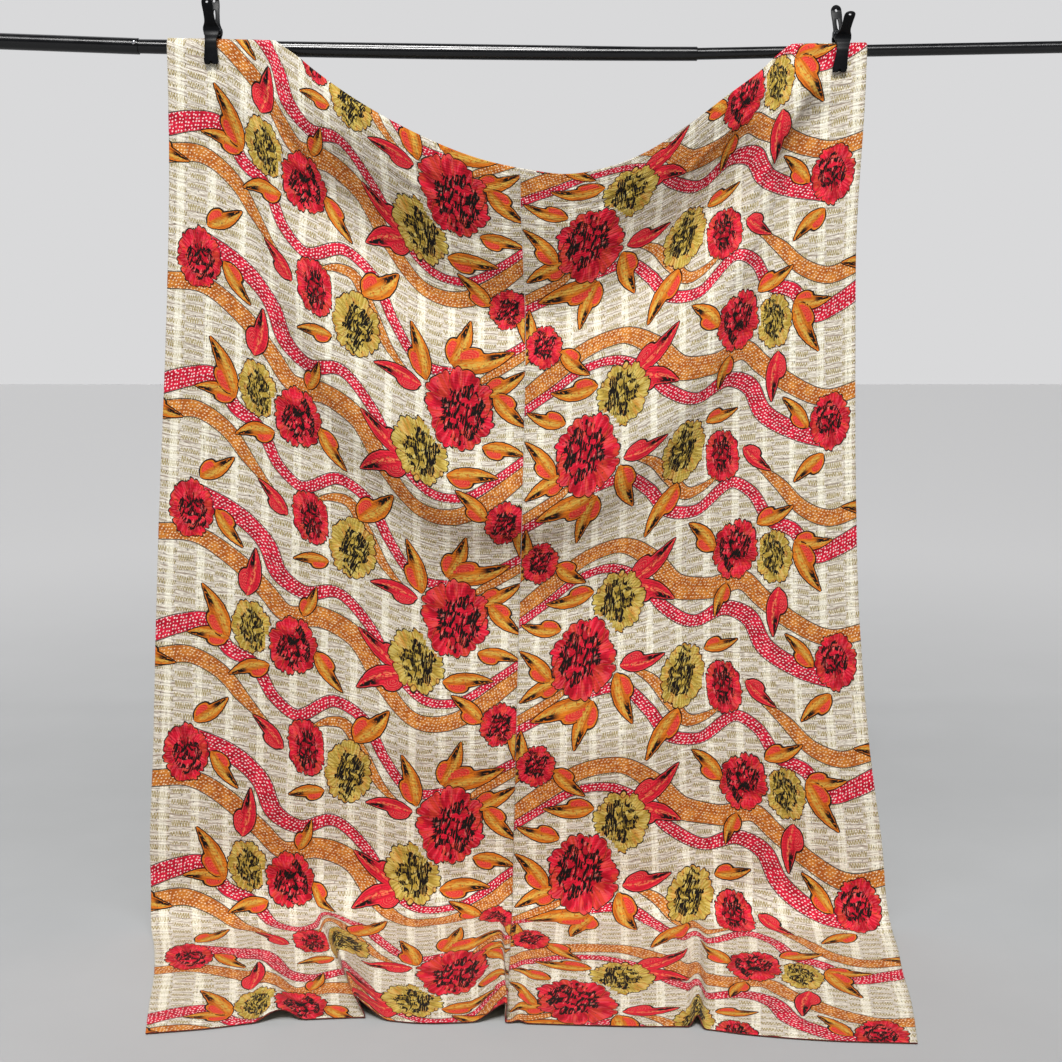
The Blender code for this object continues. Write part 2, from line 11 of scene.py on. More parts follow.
import bmesh
import bpy
import numpy as np
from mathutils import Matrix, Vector


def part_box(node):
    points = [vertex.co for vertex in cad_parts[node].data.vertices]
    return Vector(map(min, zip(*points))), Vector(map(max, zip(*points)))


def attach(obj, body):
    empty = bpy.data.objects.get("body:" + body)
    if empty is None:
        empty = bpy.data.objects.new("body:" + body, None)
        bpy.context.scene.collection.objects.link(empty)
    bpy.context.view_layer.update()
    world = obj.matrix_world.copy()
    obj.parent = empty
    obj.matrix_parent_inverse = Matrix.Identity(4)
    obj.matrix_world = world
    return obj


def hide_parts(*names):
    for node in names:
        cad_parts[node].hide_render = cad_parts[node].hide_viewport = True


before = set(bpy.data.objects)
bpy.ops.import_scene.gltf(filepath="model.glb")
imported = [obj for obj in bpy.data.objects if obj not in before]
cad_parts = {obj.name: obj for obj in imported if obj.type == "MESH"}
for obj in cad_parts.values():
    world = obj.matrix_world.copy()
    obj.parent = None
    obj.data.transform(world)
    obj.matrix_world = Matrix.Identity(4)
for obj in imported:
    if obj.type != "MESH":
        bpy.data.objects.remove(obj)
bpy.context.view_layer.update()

# ---------------------------------------------------------------- quilt sizes
QUILT_WIDTH = 1.524          # two panels, 60 in
QUILT_LENGTH = 2.250         # 90 in less its turned ends and shrinkage
PANEL_WIDTH = QUILT_WIDTH / 2.0
SHEET_THICKNESS = 0.0020
SEAM_GAP = 0.0005            # between the two panels
ROD_CLEARANCE = 0.0020       # rod surface to the cloth's inner face
BEND_RADIUS = 0.075          # soft bend where the cloth meets the floor
SAG_BLEND = 0.46             # length over which the sag's spacing evens out

# ------------------------------------------------------------------ rod sizes
ROD_HALF_LENGTH = 1.080
ROD_RADIUS_LEFT = 0.0150
ROD_RADIUS_MIDDLE = 0.0130
ROD_RADIUS_RIGHT = 0.0110
ROD_WALL = 0.0012
ROD_INSERT = 0.060           # how far a section runs inside the wider one
ROD_LOW_X = 0.3138           # end of the middle section, the rod's lowest place
ROD_JOIN_X = -0.7405         # end of the left section
ROD_LOW_Z = 1.6935
ROD_MIDDLE_BOW = 0.01228     # z rise per metre squared, middle section
ROD_LEFT_SLOPE = -0.0357
ROD_RIGHT_SLOPE = 0.0178
PLUG_FLANGE = 0.004
PLUG_STUB = 0.016
BUTTON_RADIUS = 0.0035

# ---------------------------------------------------------------- clip sizes
CLIP_LEFT_X = -0.604
CLIP_RIGHT_X = 0.584
CLIP_RIGHT_LOWER = 0.009     # the right clip sits this much lower
BARREL_RADIUS = 0.0080
BARREL_LENGTH = 0.032
BARREL_HEIGHT = 0.0300       # above the rod's axis
PAD_THICKNESS = 0.0026
PAD_HEIGHT = 0.016
FIT_GAP = 0.0004             # pad to cloth, arm to pad

# ----------------------------------------------------------------- the tables
# The top hem: place along the rod (x) and its path length from the rod's top
# line, negative behind the rod and positive down the front.
TOP_HEM = (
    # x,     path
    (-0.684, -0.094),
    (-0.600, -0.064),
    (-0.540, -0.034),
    (-0.495, -0.006),
    (-0.478, 0.012),
    (-0.441, 0.038),
    (-0.410, 0.063),
    (-0.321, 0.125),
    (-0.223, 0.178),
    (-0.112, 0.222),
    (0.000, 0.245),
    (0.064, 0.251),
    (0.148, 0.236),
    (0.220, 0.207),
    (0.285, 0.166),
    (0.360, 0.111),
    (0.432, 0.058),
    (0.466, 0.027),
    (0.500, 0.001),
    (0.530, -0.014),
    (0.580, -0.031),
    (0.632, -0.046),
)

# The outline: path length from the rod's top line, and x of the left edge,
# the centre seam and the right edge there.
OUTLINE = (
    # path,  left,   seam,    right
    (0.00, -0.684, -0.008, 0.632),
    (0.30, -0.688, -0.009, 0.621),
    (0.60, -0.702, -0.011, 0.624),
    (0.85, -0.717, -0.016, 0.630),
    (1.10, -0.730, -0.023, 0.642),
    (1.36, -0.742, -0.030, 0.668),
    (1.62, -0.755, -0.036, 0.705),
    (1.72, -0.751, -0.038, 0.711),
    (1.80, -0.727, -0.039, 0.705),
    (1.92, -0.696, -0.040, 0.687),
    (2.06, -0.670, -0.041, 0.669),
    (2.22, -0.639, -0.042, 0.640),
)

# How much more of the spare length the folds near the top take up, by place
# across the flat quilt (u), as a share of that spare length.
EARLY_SLACK = (
    # u,    share
    (0.000, 0.12),
    (0.200, 0.16),
    (0.350, 0.22),
    (0.580, 0.12),
    (0.760, 0.20),
    (0.950, 0.32),
    (1.100, 0.40),
    (1.250, 0.45),
    (1.370, 0.38),
    (1.450, 0.22),
    (1.524, 0.12),
)

# Where the cloth hangs and ends, by place across the flat quilt (u): y of the
# hanging cloth just above the floor, and y of the bottom hem on the floor.
FLOOR_LINE = (
    # u,    hang_y, hem_y
    (0.000, -0.070, -0.541),
    (0.110, -0.045, -0.523),
    (0.215, -0.015, -0.497),
    (0.300, 0.005, -0.488),
    (0.430, 0.015, -0.482),
    (0.560, 0.020, -0.503),
    (0.700, 0.020, -0.498),
    (0.850, 0.010, -0.506),
    (1.000, -0.005, -0.515),
    (1.140, -0.015, -0.520),
    (1.240, -0.020, -0.545),
    (1.370, -0.035, -0.566),
    (1.524, -0.055, -0.576),
)

# Soft folds of the hanging cloth: four places (x, drop below the rod's axis)
# that a fold's crest or trough passes, its half-width above and below that
# line, its height (positive stands out to the front), and how far along it
# comes in and fades out (shares of its length).
FOLDS = (
    # x0,    d0,    x1,    d1,    x2,    d2,    x3,    d3,    above, below, height, fade_in, fade_out
    (-0.530, 0.060, -0.230, 0.650, 0.230, 0.635, 0.500, 0.040, 0.090, 0.062, -0.046, 0.16, 0.14),
    (-0.480, 0.010, -0.230, 0.265, 0.230, 0.265, 0.500, 0.000, 0.050, 0.110, 0.042, 0.20, 0.15),
    (0.540, 0.020, 0.440, 0.170, 0.405, 0.340, 0.300, 0.600, 0.034, 0.040, 0.026, 0.10, 0.55),
    (0.560, 0.060, 0.480, 0.220, 0.450, 0.420, 0.400, 0.640, 0.035, 0.045, -0.016, 0.15, 0.60),
    (-0.600, 0.060, -0.550, 0.320, -0.500, 0.600, -0.280, 0.860, 0.035, 0.050, -0.015, 0.15, 0.35),
    (-0.500, 0.240, -0.330, 1.080, 0.200, 1.075, 0.440, 0.300, 0.115, 0.066, 0.040, 0.24, 0.14),
    (-0.340, 0.980, -0.120, 1.090, 0.140, 1.100, 0.360, 0.960, 0.080, 0.090, -0.018, 0.30, 0.30),
    (-0.420, 1.220, -0.150, 1.380, 0.150, 1.400, 0.420, 1.220, 0.090, 0.110, 0.018, 0.30, 0.30),
    (-0.180, 1.000, -0.200, 1.250, -0.180, 1.480, -0.160, 1.640, 0.060, 0.060, -0.010, 0.30, 0.25),
    (-0.560, 0.700, -0.580, 1.050, -0.560, 1.400, -0.520, 1.640, 0.080, 0.080, 0.010, 0.30, 0.25),
    (0.330, 0.800, 0.340, 1.100, 0.330, 1.380, 0.335, 1.640, 0.060, 0.060, -0.012, 0.30, 0.10),
    (0.500, 0.500, 0.520, 0.900, 0.540, 1.300, 0.560, 1.640, 0.070, 0.070, 0.012, 0.30, 0.25),
)

# Ridges of the cloth on the floor: place across the flat quilt (u) at the bend
# and at the hem, half-widths left and right in the flat, height at the bend
# and at the hem, width taken up at the hem, and how far the crest leans.
FLOOR_RIDGES = (
    # u_bend, u_hem, left,  right, rise_bend, rise_hem, taken, lean
    (0.200, 0.240, 0.055, 0.050, 0.002, 0.020, 0.006, 0.00),
    (0.368, 0.448, 0.052, 0.052, 0.016, 0.042, 0.056, -0.85),
    (0.722, 0.733, 0.080, 0.028, 0.012, 0.036, 0.040, 0.25),
    (0.796, 0.796, 0.032, 0.034, 0.001, 0.005, 0.026, 0.00),
    (1.136, 1.136, 0.032, 0.030, 0.012, 0.023, 0.030, 0.00),
)


# ------------------------------------------------------------------ functions
def smooth(t):
    t = np.clip(t, 0.0, 1.0)
    return t * t * (3.0 - 2.0 * t)


def curve_through(rows, x, column):
    """Smooth curve through a table's rows, with the rows' own slopes."""
    xs = np.array([row[0] for row in rows])
    ys = np.array([row[column] for row in rows])
    step = np.diff(xs)
    slope = np.diff(ys) / step
    tangent = np.empty(len(xs))
    tangent[1:-1] = (slope[:-1] * step[1:] + slope[1:] * step[:-1]) / (step[:-1] + step[1:])
    tangent[0], tangent[-1] = slope[0], slope[-1]
    x = np.clip(np.asarray(x, dtype=float), xs[0], xs[-1])
    i = np.clip(np.searchsorted(xs, x, side="right") - 1, 0, len(xs) - 2)
    h = step[i]
    t = (x - xs[i]) / h
    return ((2 * t ** 3 - 3 * t ** 2 + 1) * ys[i] + (t ** 3 - 2 * t ** 2 + t) * h * tangent[i]
            + (3 * t ** 2 - 2 * t ** 3) * ys[i + 1] + (t ** 3 - t ** 2) * h * tangent[i + 1])


def rod_z(x):
    """Height of the rod's axis: straight ends, gently bowed middle section."""
    x = np.asarray(x, dtype=float)
    middle = ROD_LOW_Z + ROD_MIDDLE_BOW * (x - ROD_LOW_X) ** 2
    join_z = ROD_LOW_Z + ROD_MIDDLE_BOW * (ROD_JOIN_X - ROD_LOW_X) ** 2
    left = join_z + ROD_LEFT_SLOPE * (x - ROD_JOIN_X)
    right = ROD_LOW_Z + ROD_RIGHT_SLOPE * (x - ROD_LOW_X)
    return np.where(x < ROD_JOIN_X, left, np.where(x > ROD_LOW_X, right, middle))


def wrap_radius(x):
    """Radius of the cloth's middle where it goes over the rod."""
    near_left = ROD_RADIUS_MIDDLE + ROD_CLEARANCE + SHEET_THICKNESS / 2.0
    near_right = ROD_RADIUS_RIGHT + ROD_CLEARANCE + SHEET_THICKNESS / 2.0
    return near_left + (near_right - near_left) * smooth((np.asarray(x) + 0.2) / 0.4)


def top_spacing():
    """Flat place u against x along the top hem, by the hem's own length."""
    x = np.linspace(TOP_HEM[0][0], TOP_HEM[-1][0], 400)
    drop = np.maximum(curve_through(TOP_HEM, x, 1), 0.0)
    length = np.concatenate(([0.0], np.cumsum(np.hypot(np.diff(x), np.diff(drop)))))
    return x, length * (QUILT_WIDTH / length[-1])


def bezier(row, count=28):
    t = np.linspace(0.0, 1.0, count)[:, None]
    p = np.array(row[:8]).reshape(4, 2)
    return ((1 - t) ** 3 * p[0] + 3 * (1 - t) ** 2 * t * p[1]
            + 3 * (1 - t) * t ** 2 * p[2] + t ** 3 * p[3])


def fold_height(x, drop):
    """Sum of the soft folds at places (x, drop) of the hanging cloth."""
    total = np.zeros_like(x)
    for row in FOLDS:
        line = bezier(row)
        above, below, height, fade_in, fade_out = row[8:13]
        best = np.full(x.shape, 1e9)
        side = np.zeros_like(x)
        along = np.zeros_like(x)
        for k in range(len(line) - 1):
            ax, ad = line[k]
            dx, dd = line[k + 1] - line[k]
            t = np.clip(((x - ax) * dx + (drop - ad) * dd) / (dx * dx + dd * dd), 0.0, 1.0)
            px, pd = x - (ax + t * dx), drop - (ad + t * dd)
            dist = np.hypot(px, pd)
            nearer = dist < best
            best = np.where(nearer, dist, best)
            side = np.where(nearer, pd, side)
            along = np.where(nearer, (k + t) / (len(line) - 1), along)
        width = np.where(side < 0.0, above, below)
        ends = smooth(along / fade_in) * smooth((1.0 - along) / fade_out)
        total += height * ends * np.exp(-(best / width) ** 2)
    return total


def surface(u, v):
    """Middle of the cloth at flat place (u across, v down from the top hem)."""
    u = np.asarray(u, dtype=float)
    v = np.asarray(v, dtype=float)
    hem_x, hem_u = top_spacing()
    x_top = np.interp(u, hem_u, hem_x)
    start = curve_through(TOP_HEM, x_top, 1)
    hang_y = curve_through(FLOOR_LINE, u, 1)
    hem_y = curve_through(FLOOR_LINE, u, 2)

    quarter = wrap_radius(x_top) * math.pi / 2.0
    hang_end = quarter + rod_z(x_top) - BEND_RADIUS
    bend_end = hang_end + BEND_RADIUS * math.pi / 2.0
    finish = bend_end + (hang_y - BEND_RADIUS - hem_y)
    surplus = QUILT_LENGTH - (finish - start)
    share = v / QUILT_LENGTH
    early = curve_through(EARLY_SLACK, u, 1) * (1.0 - np.exp(-share / 0.10)) * (1.0 - share * share)
    path = start + v - surplus * (share + early)

    # place across: the sag's own spacing at the top, then even between edges
    floor_share = smooth((path - hang_end + 0.02) / 0.10)
    reach = np.clip((path - bend_end) / np.maximum(finish - bend_end, 0.1), 0.0, 1.0)
    left = curve_through(OUTLINE, path, 1)
    seam = curve_through(OUTLINE, path, 2)
    right = curve_through(OUTLINE, path, 3)
    in_left = u <= PANEL_WIDTH
    taken_left = np.zeros_like(u)
    taken_right = np.zeros_like(u)
    taken_here = np.zeros_like(u)
    rise = np.zeros_like(u)
    lean = np.zeros_like(u)
    for u_bend, u_hem, w_left, w_right, rise_bend, rise_hem, taken, crest_lean in FLOOR_RIDGES:
        centre = u_bend + (u_hem - u_bend) * reach
        width = np.where(u < centre, w_left, w_right)
        d = (u - centre) / width
        amount = taken * (0.25 + 0.75 * reach) * floor_share
        step = smooth(0.5 + 0.5 * d)
        taken_here += amount * step
        if u_hem < PANEL_WIDTH:
            taken_left += amount
        else:
            taken_right += amount
        bump = np.where(np.abs(d) < 1.0, np.cos(0.5 * math.pi * d) ** 2, 0.0)
        rise_now = (rise_bend + (rise_hem - rise_bend) * reach) * floor_share * bump
        rise += rise_now
        lean += crest_lean * rise_now
    share_left = (u - np.where(in_left, taken_here, 0.0)) / (PANEL_WIDTH - taken_left)
    share_right = ((u - PANEL_WIDTH) - (taken_here - taken_left)) / (PANEL_WIDTH - taken_right)
    x_low = np.where(in_left, left + (seam - left) * share_left,
                     seam + (right - seam) * share_right)
    evened = smooth(v / SAG_BLEND)
    x = x_top + (x_low - x_top) * evened + lean

    # the cross-section path: behind the rod, over it, down, bend, floor
    radius = wrap_radius(x)
    axis_z = rod_z(x)
    quarter = radius * math.pi / 2.0
    angle = np.clip(path / radius, -math.pi / 2.0, math.pi / 2.0)
    y = -radius * np.sin(angle)
    z = axis_z + radius * np.cos(angle)
    z = np.where(path < -quarter, axis_z + (path + quarter), z)
    hanging = path > quarter
    fall = np.clip((path - quarter) / (hang_end - quarter), 0.0, 1.0)
    front_y = -radius + (hang_y + radius) * smooth(fall)
    z_end = BEND_RADIUS + SHEET_THICKNESS / 2.0
    front_z = axis_z + (z_end - axis_z) * fall
    turn = np.clip((path - hang_end) / BEND_RADIUS, 0.0, math.pi / 2.0)
    front_y = front_y - BEND_RADIUS * (1.0 - np.cos(turn)) - np.maximum(path - bend_end, 0.0)
    front_z = front_z - BEND_RADIUS * np.sin(turn)
    y = np.where(hanging, front_y, y)
    z = np.where(hanging, front_z, z)

    # folds stand out along the path's own normal; none press into the rod
    drop = path - quarter
    fold = fold_height(x, drop)
    fold = np.where(fold < 0.0, fold * smooth((drop - 0.035) / 0.08), fold)
    fold *= smooth((drop + 0.004) / 0.030) * (1.0 - smooth((path - hang_end + 0.10) / 0.14))
    upright = np.cos(turn)
    y = y - fold * upright - rise * upright
    z = z + fold * (1.0 - upright) + rise * (1.0 - upright)
    return np.stack((x, y, z), axis=-1)


# ------------------------------------------------------------------- the print
# Chart of one repeat, in centimetres: u from the cloth's outer edge, v down the
# cloth. It repeats every REPEAT down the cloth. The right panel is the same
# cloth turned half round.
REPEAT = 48.4
PHASE_LEFT = 0.495           # v of the chart's zero on the left panel, metres
PHASE_RIGHT = 0.752
SHIFT_RIGHT = 0.8            # chart u of the right panel's outer edge, cm

# How far the print has slipped on each panel, by place on it.
DRIFT_RIGHT = (
    # u,   up
    (0.0, -0.4),
    (8.0, 0.1),
    (17.0, 1.2),
    (25.0, 1.4),
    (33.0, 0.7),
    (42.0, -0.7),
    (55.0, -1.5),
    (66.0, -1.2),
    (77.0, -0.4),
)
SLIP_LEFT = (
    # u,    v,    down, all in centimetres
    (63.0, 9.0, 3.0),
    (54.0, 20.0, 1.4),
    (28.0, 25.0, 1.2),
    (20.0, 50.0, -0.9),
    (36.0, 50.0, 1.0),
    (63.0, 58.0, 1.2),
    (72.0, 84.0, 0.8),
    (6.0, 120.0, -0.9),
    (20.0, 120.0, -1.3),
    (55.0, 116.0, -0.5),
    (72.0, 134.0, -2.0),
    (28.0, 170.0, 1.2),
    (72.0, 182.0, -2.4),
    (6.0, 195.0, 0.0),
    (20.0, 216.0, 3.0),
    (54.0, 214.0, 3.2),
)
SLIP_RIGHT = (
    # u,    v,    down, all in centimetres
    (4.0, 10.0, 1.8),
    (6.6, 124.0, -1.2),
    (6.6, 220.0, 2.8),
    (19.5, 4.0, 2.2),
    (20.0, 53.0, 0.8),
    (24.0, 100.0, -1.1),
    (28.0, 147.0, -0.9),
    (20.0, 198.0, 3.6),
    (30.0, 196.0, 2.4),
    (32.0, 128.0, -1.2),
    (31.0, 177.0, -1.8),
    (40.0, 28.0, 2.6),
    (40.0, 125.0, 0.8),
    (62.0, 21.0, 0.9),
    (58.0, 64.0, 1.7),
    (58.0, 112.0, -1.7),
    (54.0, 155.0, -0.7),
    (58.0, 206.0, 2.4),
    (72.6, 92.0, 1.7),
    (72.6, 141.0, -1.5),
    (72.6, 189.0, -1.9),
)


def slipped(rows, cu, v):
    """Slip of the print down the cloth, in centimetres, spread softly round its rows."""
    total, weight = np.zeros_like(cu), np.full_like(cu, 0.12)
    for u0, v0, down in rows:
        near = np.exp(-((cu - u0) / 11.0) ** 2 - ((v * 100.0 - v0) / 24.0) ** 2)
        total += near * down
        weight += near
    return total / weight


FLOWERS = (
    # u,    v,    width, height, turn, olive
    (6.6, 0.0, 9.5, 11.9, 4, 0),
    (19.5, 21.3, 8.3, 11.5, -6, 1),
    (28.0, 23.3, 10.3, 12.7, 8, 0),
    (31.2, 43.4, 8.3, 11.9, -10, 0),
    (40.2, -1.0, 10.5, 13.9, 6, 1),
    (62.5, 7.5, 15.6, 18.6, 0, 0),
    (54.3, 18.6, 12.1, 14.3, -12, 1),
    (72.6, 32.6, 8.7, 10.3, 14, 0),
)

LEAVES = (
    # base u, v,  tip u, v,    lobe side, red
    (11.6, -0.7, 17.4, 5.8, -1, 0),
    (18.6, 15.2, 20.2, 5.0, -1, 1),
    (15.0, 24.3, 9.4, 14.2, -1, 0),
    (15.0, 24.3, 6.4, 24.3, -1, 0),
    (-4.0, 29.0, 4.2, 31.0, -1, 0),
    (8.2, -6.3, 15.2, -11.9, -1, 0),
    (26.4, -3.9, 20.2, -9.5, -1, 1),
    (35.2, 3.3, 27.6, 4.8, -1, 0),
    (30.0, 16.6, 32.8, 9.8, -1, 0),
    (23.2, 28.1, 15.0, 31.5, -1, 0),
    (32.4, 23.6, 38.6, 31.0, -1, 0),
    (41.4, -7.5, 49.0, -16.8, -1, 0),
    (51.8, 21.6, 41.6, 16.0, 1, 1),
    (51.8, 21.6, 41.4, 28.8, -1, 1),
    (60.0, 22.0, 71.0, 22.3, 1, 0),
    (54.2, 4.2, 44.0, 4.8, -1, 1),
    (55.2, 2.9, 51.8, -8.3, -1, 0),
    (60.4, -2.1, 64.6, -12.5, -1, 0),
    (60.4, -2.1, 74.0, -5.3, -1, 0),
    (67.4, 4.2, 76.6, -0.9, -1, 0),
    (69.4, 3.9, 76.6, 11.8, -1, 0),
    (67.4, 15.4, 76.6, 17.8, 1, 0),
    (69.0, 31.8, 62.0, 25.0, -1, 0),
    (77.4, 28.0, 75.8, 41.0, -1, 0),
)

# Ribbons: the turns of each centre line and its width there, in centimetres.
RIBBON_PINK_UPPER = (
    # u,    v,   width
    (8.0, -3.5, 3.0),
    (15.4, -1.1, 3.5),
    (22.0, 3.2, 3.7),
    (25.2, 9.2, 3.5),
    (30.0, 11.5, 2.9),
    (37.0, 9.6, 2.3),
    (44.0, 14.6, 2.3),
    (50.0, 22.5, 2.0),
    (56.4, 26.7, 1.9),
    (63.6, 26.7, 1.8),
    (71.8, 22.0, 1.8),
    (77.5, 18.0, 1.8),
)
RIBBON_ORANGE_UPPER = (
    # u,    v,   width
    (-1.0, 5.7, 3.0),
    (7.8, 5.0, 3.2),
    (15.6, 8.2, 3.6),
    (22.4, 13.2, 3.7),
    (26.4, 16.9, 3.8),
    (34.0, 15.9, 4.4),
    (40.8, 18.0, 4.6),
    (47.0, 25.9, 3.8),
    (54.0, 31.4, 3.3),
    (62.0, 31.2, 3.5),
    (70.0, 26.8, 3.6),
    (77.5, 20.4, 3.6),
)
RIBBON_PINK_LOWER = (
    # u,    v,   width
    (-1.0, 25.5, 3.7),
    (5.2, 22.9, 3.5),
    (10.8, 21.6, 2.9),
    (15.2, 26.7, 2.8),
    (20.0, 28.6, 2.6),
    (24.4, 34.8, 2.3),
    (28.2, 37.3, 2.2),
    (37.4, 33.0, 2.3),
    (43.0, 35.2, 2.4),
    (48.4, 43.0, 2.4),
    (53.0, 47.7, 2.2),
    (62.0, 47.7, 2.0),
    (70.4, 44.3, 1.8),
    (77.5, 40.6, 1.8),
)
RIBBON_ORANGE_LOWER = (
    # u,    v,   width
    (-1.0, 30.5, 3.4),
    (7.2, 28.9, 3.2),
    (13.2, 31.2, 3.1),
    (18.4, 36.3, 2.4),
    (22.4, 39.7, 1.0),
    (24.4, 41.2, 0.1),
)
RIBBON_ORANGE_SHORT = (
    # u,    v,   width
    (32.0, 39.2, 0.3),
    (35.6, 37.5, 1.6),
    (38.6, 37.2, 2.2),
    (43.0, 42.5, 2.4),
    (47.4, 48.9, 1.9),
    (52.8, 52.6, 0.2),
)
RIBBON_ORANGE_END = (
    # u,    v,   width
    (64.0, 51.2, 0.4),
    (68.0, 48.6, 1.6),
    (72.5, 45.6, 2.4),
    (77.5, 42.4, 2.6),
)
PINK_RIBBONS = (RIBBON_PINK_UPPER, RIBBON_PINK_LOWER)
ORANGE_RIBBONS = (RIBBON_ORANGE_UPPER, RIBBON_ORANGE_LOWER, RIBBON_ORANGE_SHORT, RIBBON_ORANGE_END)

FAR = 9.0                    # motif coordinate of a place outside every motif


def repeats(low, high, v_all):
    """Whole repeats that bring a motif from v low to high onto the cloth."""
    first = math.floor((v_all.min() - high) / REPEAT)
    last = math.ceil((v_all.max() - low) / REPEAT)
    return range(first, last + 1)


def corners_of(values):
    """Grid values at each face's four corners."""
    return np.stack((values[:-1, :-1], values[1:, :-1], values[1:, 1:], values[:-1, 1:]), axis=2)


def flower_places(cu, cv):
    """Each face's flower: its own x, y (1 at the rim) and size code."""
    best = np.full((cu.shape[0] - 1, cu.shape[1] - 1), 1.16)
    found = np.full(best.shape + (4, 3), FAR)
    order = sorted(FLOWERS, key=lambda row: row[5])
    for u0, v0, width, height, turn, olive in order:
        a = math.radians(turn)
        for n in repeats(v0 - height, v0 + height, cv):
            du, dv = cu - u0, cv - (v0 + n * REPEAT)
            x = (du * math.cos(a) + dv * math.sin(a)) / (width / 2.0)
            y = (-du * math.sin(a) + dv * math.cos(a)) / (height / 2.0)
            xc, yc = corners_of(x), corners_of(y)
            reach = np.hypot(xc, yc).min(axis=2)
            # a red flower lies over an olive one
            nearer = (reach < best) if olive == 0 else (reach < 1.10) & (best > 1.0)
            best = np.where(nearer, np.minimum(reach, best), best)
            code = (width + height) / 4.0 + 100.0 * olive
            here = np.stack((xc, yc, np.full_like(xc, code)), axis=-1)
            found = np.where(nearer[..., None, None], here, found)
    return found


def leaf_places(cu, cv):
    """Each face's one or two leaves: along, across and size code of each."""
    shape = (cu.shape[0] - 1, cu.shape[1] - 1)
    first = np.full(shape + (4, 3), FAR)
    second = np.full(shape + (4, 3), FAR)
    d_first = np.full(shape, 1.0)
    d_second = np.full(shape, 1.0)
    for u0, v0, u1, v1, side, red in LEAVES:
        du, dv = u1 - u0, v1 - v0
        length = math.hypot(du, dv)
        ax, ay = du / length, dv / length
        for n in repeats(min(v0, v1) - 4.0, max(v0, v1) + 4.0, cv):
            pu, pv = cu - u0, cv - (v0 + n * REPEAT)
            along = (pu * ax + pv * ay) / length
            across = side * (-pu * ay + pv * ax) / length
            lc, qc = corners_of(along), corners_of(across)
            outside = np.hypot(np.maximum(np.abs(lc - 0.5) - 0.40, 0.0) / 0.16,
                               np.maximum(np.abs(qc - 0.06) - 0.10, 0.0) / 0.20).min(axis=2)
            here = np.stack((lc, qc, np.full_like(lc, length + 100.0 * red)), axis=-1)
            is_first = outside < d_first
            is_second = ~is_first & (outside < d_second)
            second = np.where(is_first[..., None, None], first, np.where(is_second[..., None, None], here, second))
            d_second = np.where(is_first, d_first, np.where(is_second, outside, d_second))
            first = np.where(is_first[..., None, None], here, first)
            d_first = np.where(is_first, outside, d_first)
    return first, second


def ribbon_line(rows):
    """A ribbon's centre line with its widths, as a fine smooth curve."""
    p = np.array(rows)
    step = np.hypot(np.diff(p[:, 0]), np.diff(p[:, 1]))
    s = np.concatenate(([0.0], np.cumsum(step)))
    fine = np.linspace(0.0, s[-1], max(12, int(s[-1] / 0.8)))
    columns = [curve_through(tuple(zip(s, p[:, k])), fine, 1) for k in range(3)]
    return np.stack(columns, axis=1)


def ribbon_places(ribbons, cu, cv):
    """Each face's ribbon: distance from the centre line, along, half-width."""
    shape = (cu.shape[0] - 1, cu.shape[1] - 1)
    best = np.full(shape, 1.0)
    found = np.full(shape + (4, 3), FAR)
    found[..., 2] = 0.1
    for number, rows in enumerate(ribbons):
        line = ribbon_line(rows)
        low, high = line[:, 1].min() - 4.0, line[:, 1].max() + 4.0
        for n in repeats(low, high, cv):
            inside = (cv > low + n * REPEAT) & (cv < high + n * REPEAT)
            columns = np.nonzero(inside.any(axis=0))[0]
            if len(columns) < 2:
                continue
            c0, c1 = columns[0], columns[-1] + 1
            u, v = cu[:, c0:c1], cv[:, c0:c1] - n * REPEAT
            near = np.full(u.shape, 1e9)
            signed = np.zeros_like(u)
            along = np.zeros_like(u)
            half = np.full(u.shape, 0.1)
            s = 0.0
            for k in range(len(line) - 1):
                (x0, y0, w0), (x1, y1, w1) = line[k], line[k + 1]
                dx, dy = x1 - x0, y1 - y0
                seg = math.hypot(dx, dy)
                t = np.clip(((u - x0) * dx + (v - y0) * dy) / (seg * seg), 0.0, 1.0)
                px, py = u - x0 - t * dx, v - y0 - t * dy
                dist = np.hypot(px, py)
                closer = dist < near
                near = np.where(closer, dist, near)
                signed = np.where(closer, np.copysign(dist, (dx * (v - y0) - dy * (u - x0))), signed)
                along = np.where(closer, s + t * seg, along)
                half = np.where(closer, (w0 + t * (w1 - w0)) / 2.0, half)
                s += seg
            dc, ac, hc = corners_of(signed), corners_of(along), corners_of(half)
            excess = np.abs(dc).min(axis=2) - hc.mean(axis=2)
            # faces where the nearest place jumps from one turn to another stay plain
            steady = (np.ptp(ac, axis=2) < 4.0) & (np.ptp(dc, axis=2) < 2.4)
            nearer = (excess < best[:, c0:c1 - 1]) & steady
            block = best[:, c0:c1 - 1]
            block[nearer] = excess[nearer]
            here = np.stack((dc, ac + 37.0 * number, hc), axis=-1)
            found[:, c0:c1 - 1][nearer] = here[nearer]
    return found


# ------------------------------------------------------ materials, written short
def srgb(r, g, b):
    """A colour given as 0-255 screen values, as the linear one shaders take."""
    def one(c):
        c = c / 255.0
        return c / 12.92 if c <= 0.04045 else ((c + 0.055) / 1.055) ** 2.4
    return (one(r), one(g), one(b), 1.0)


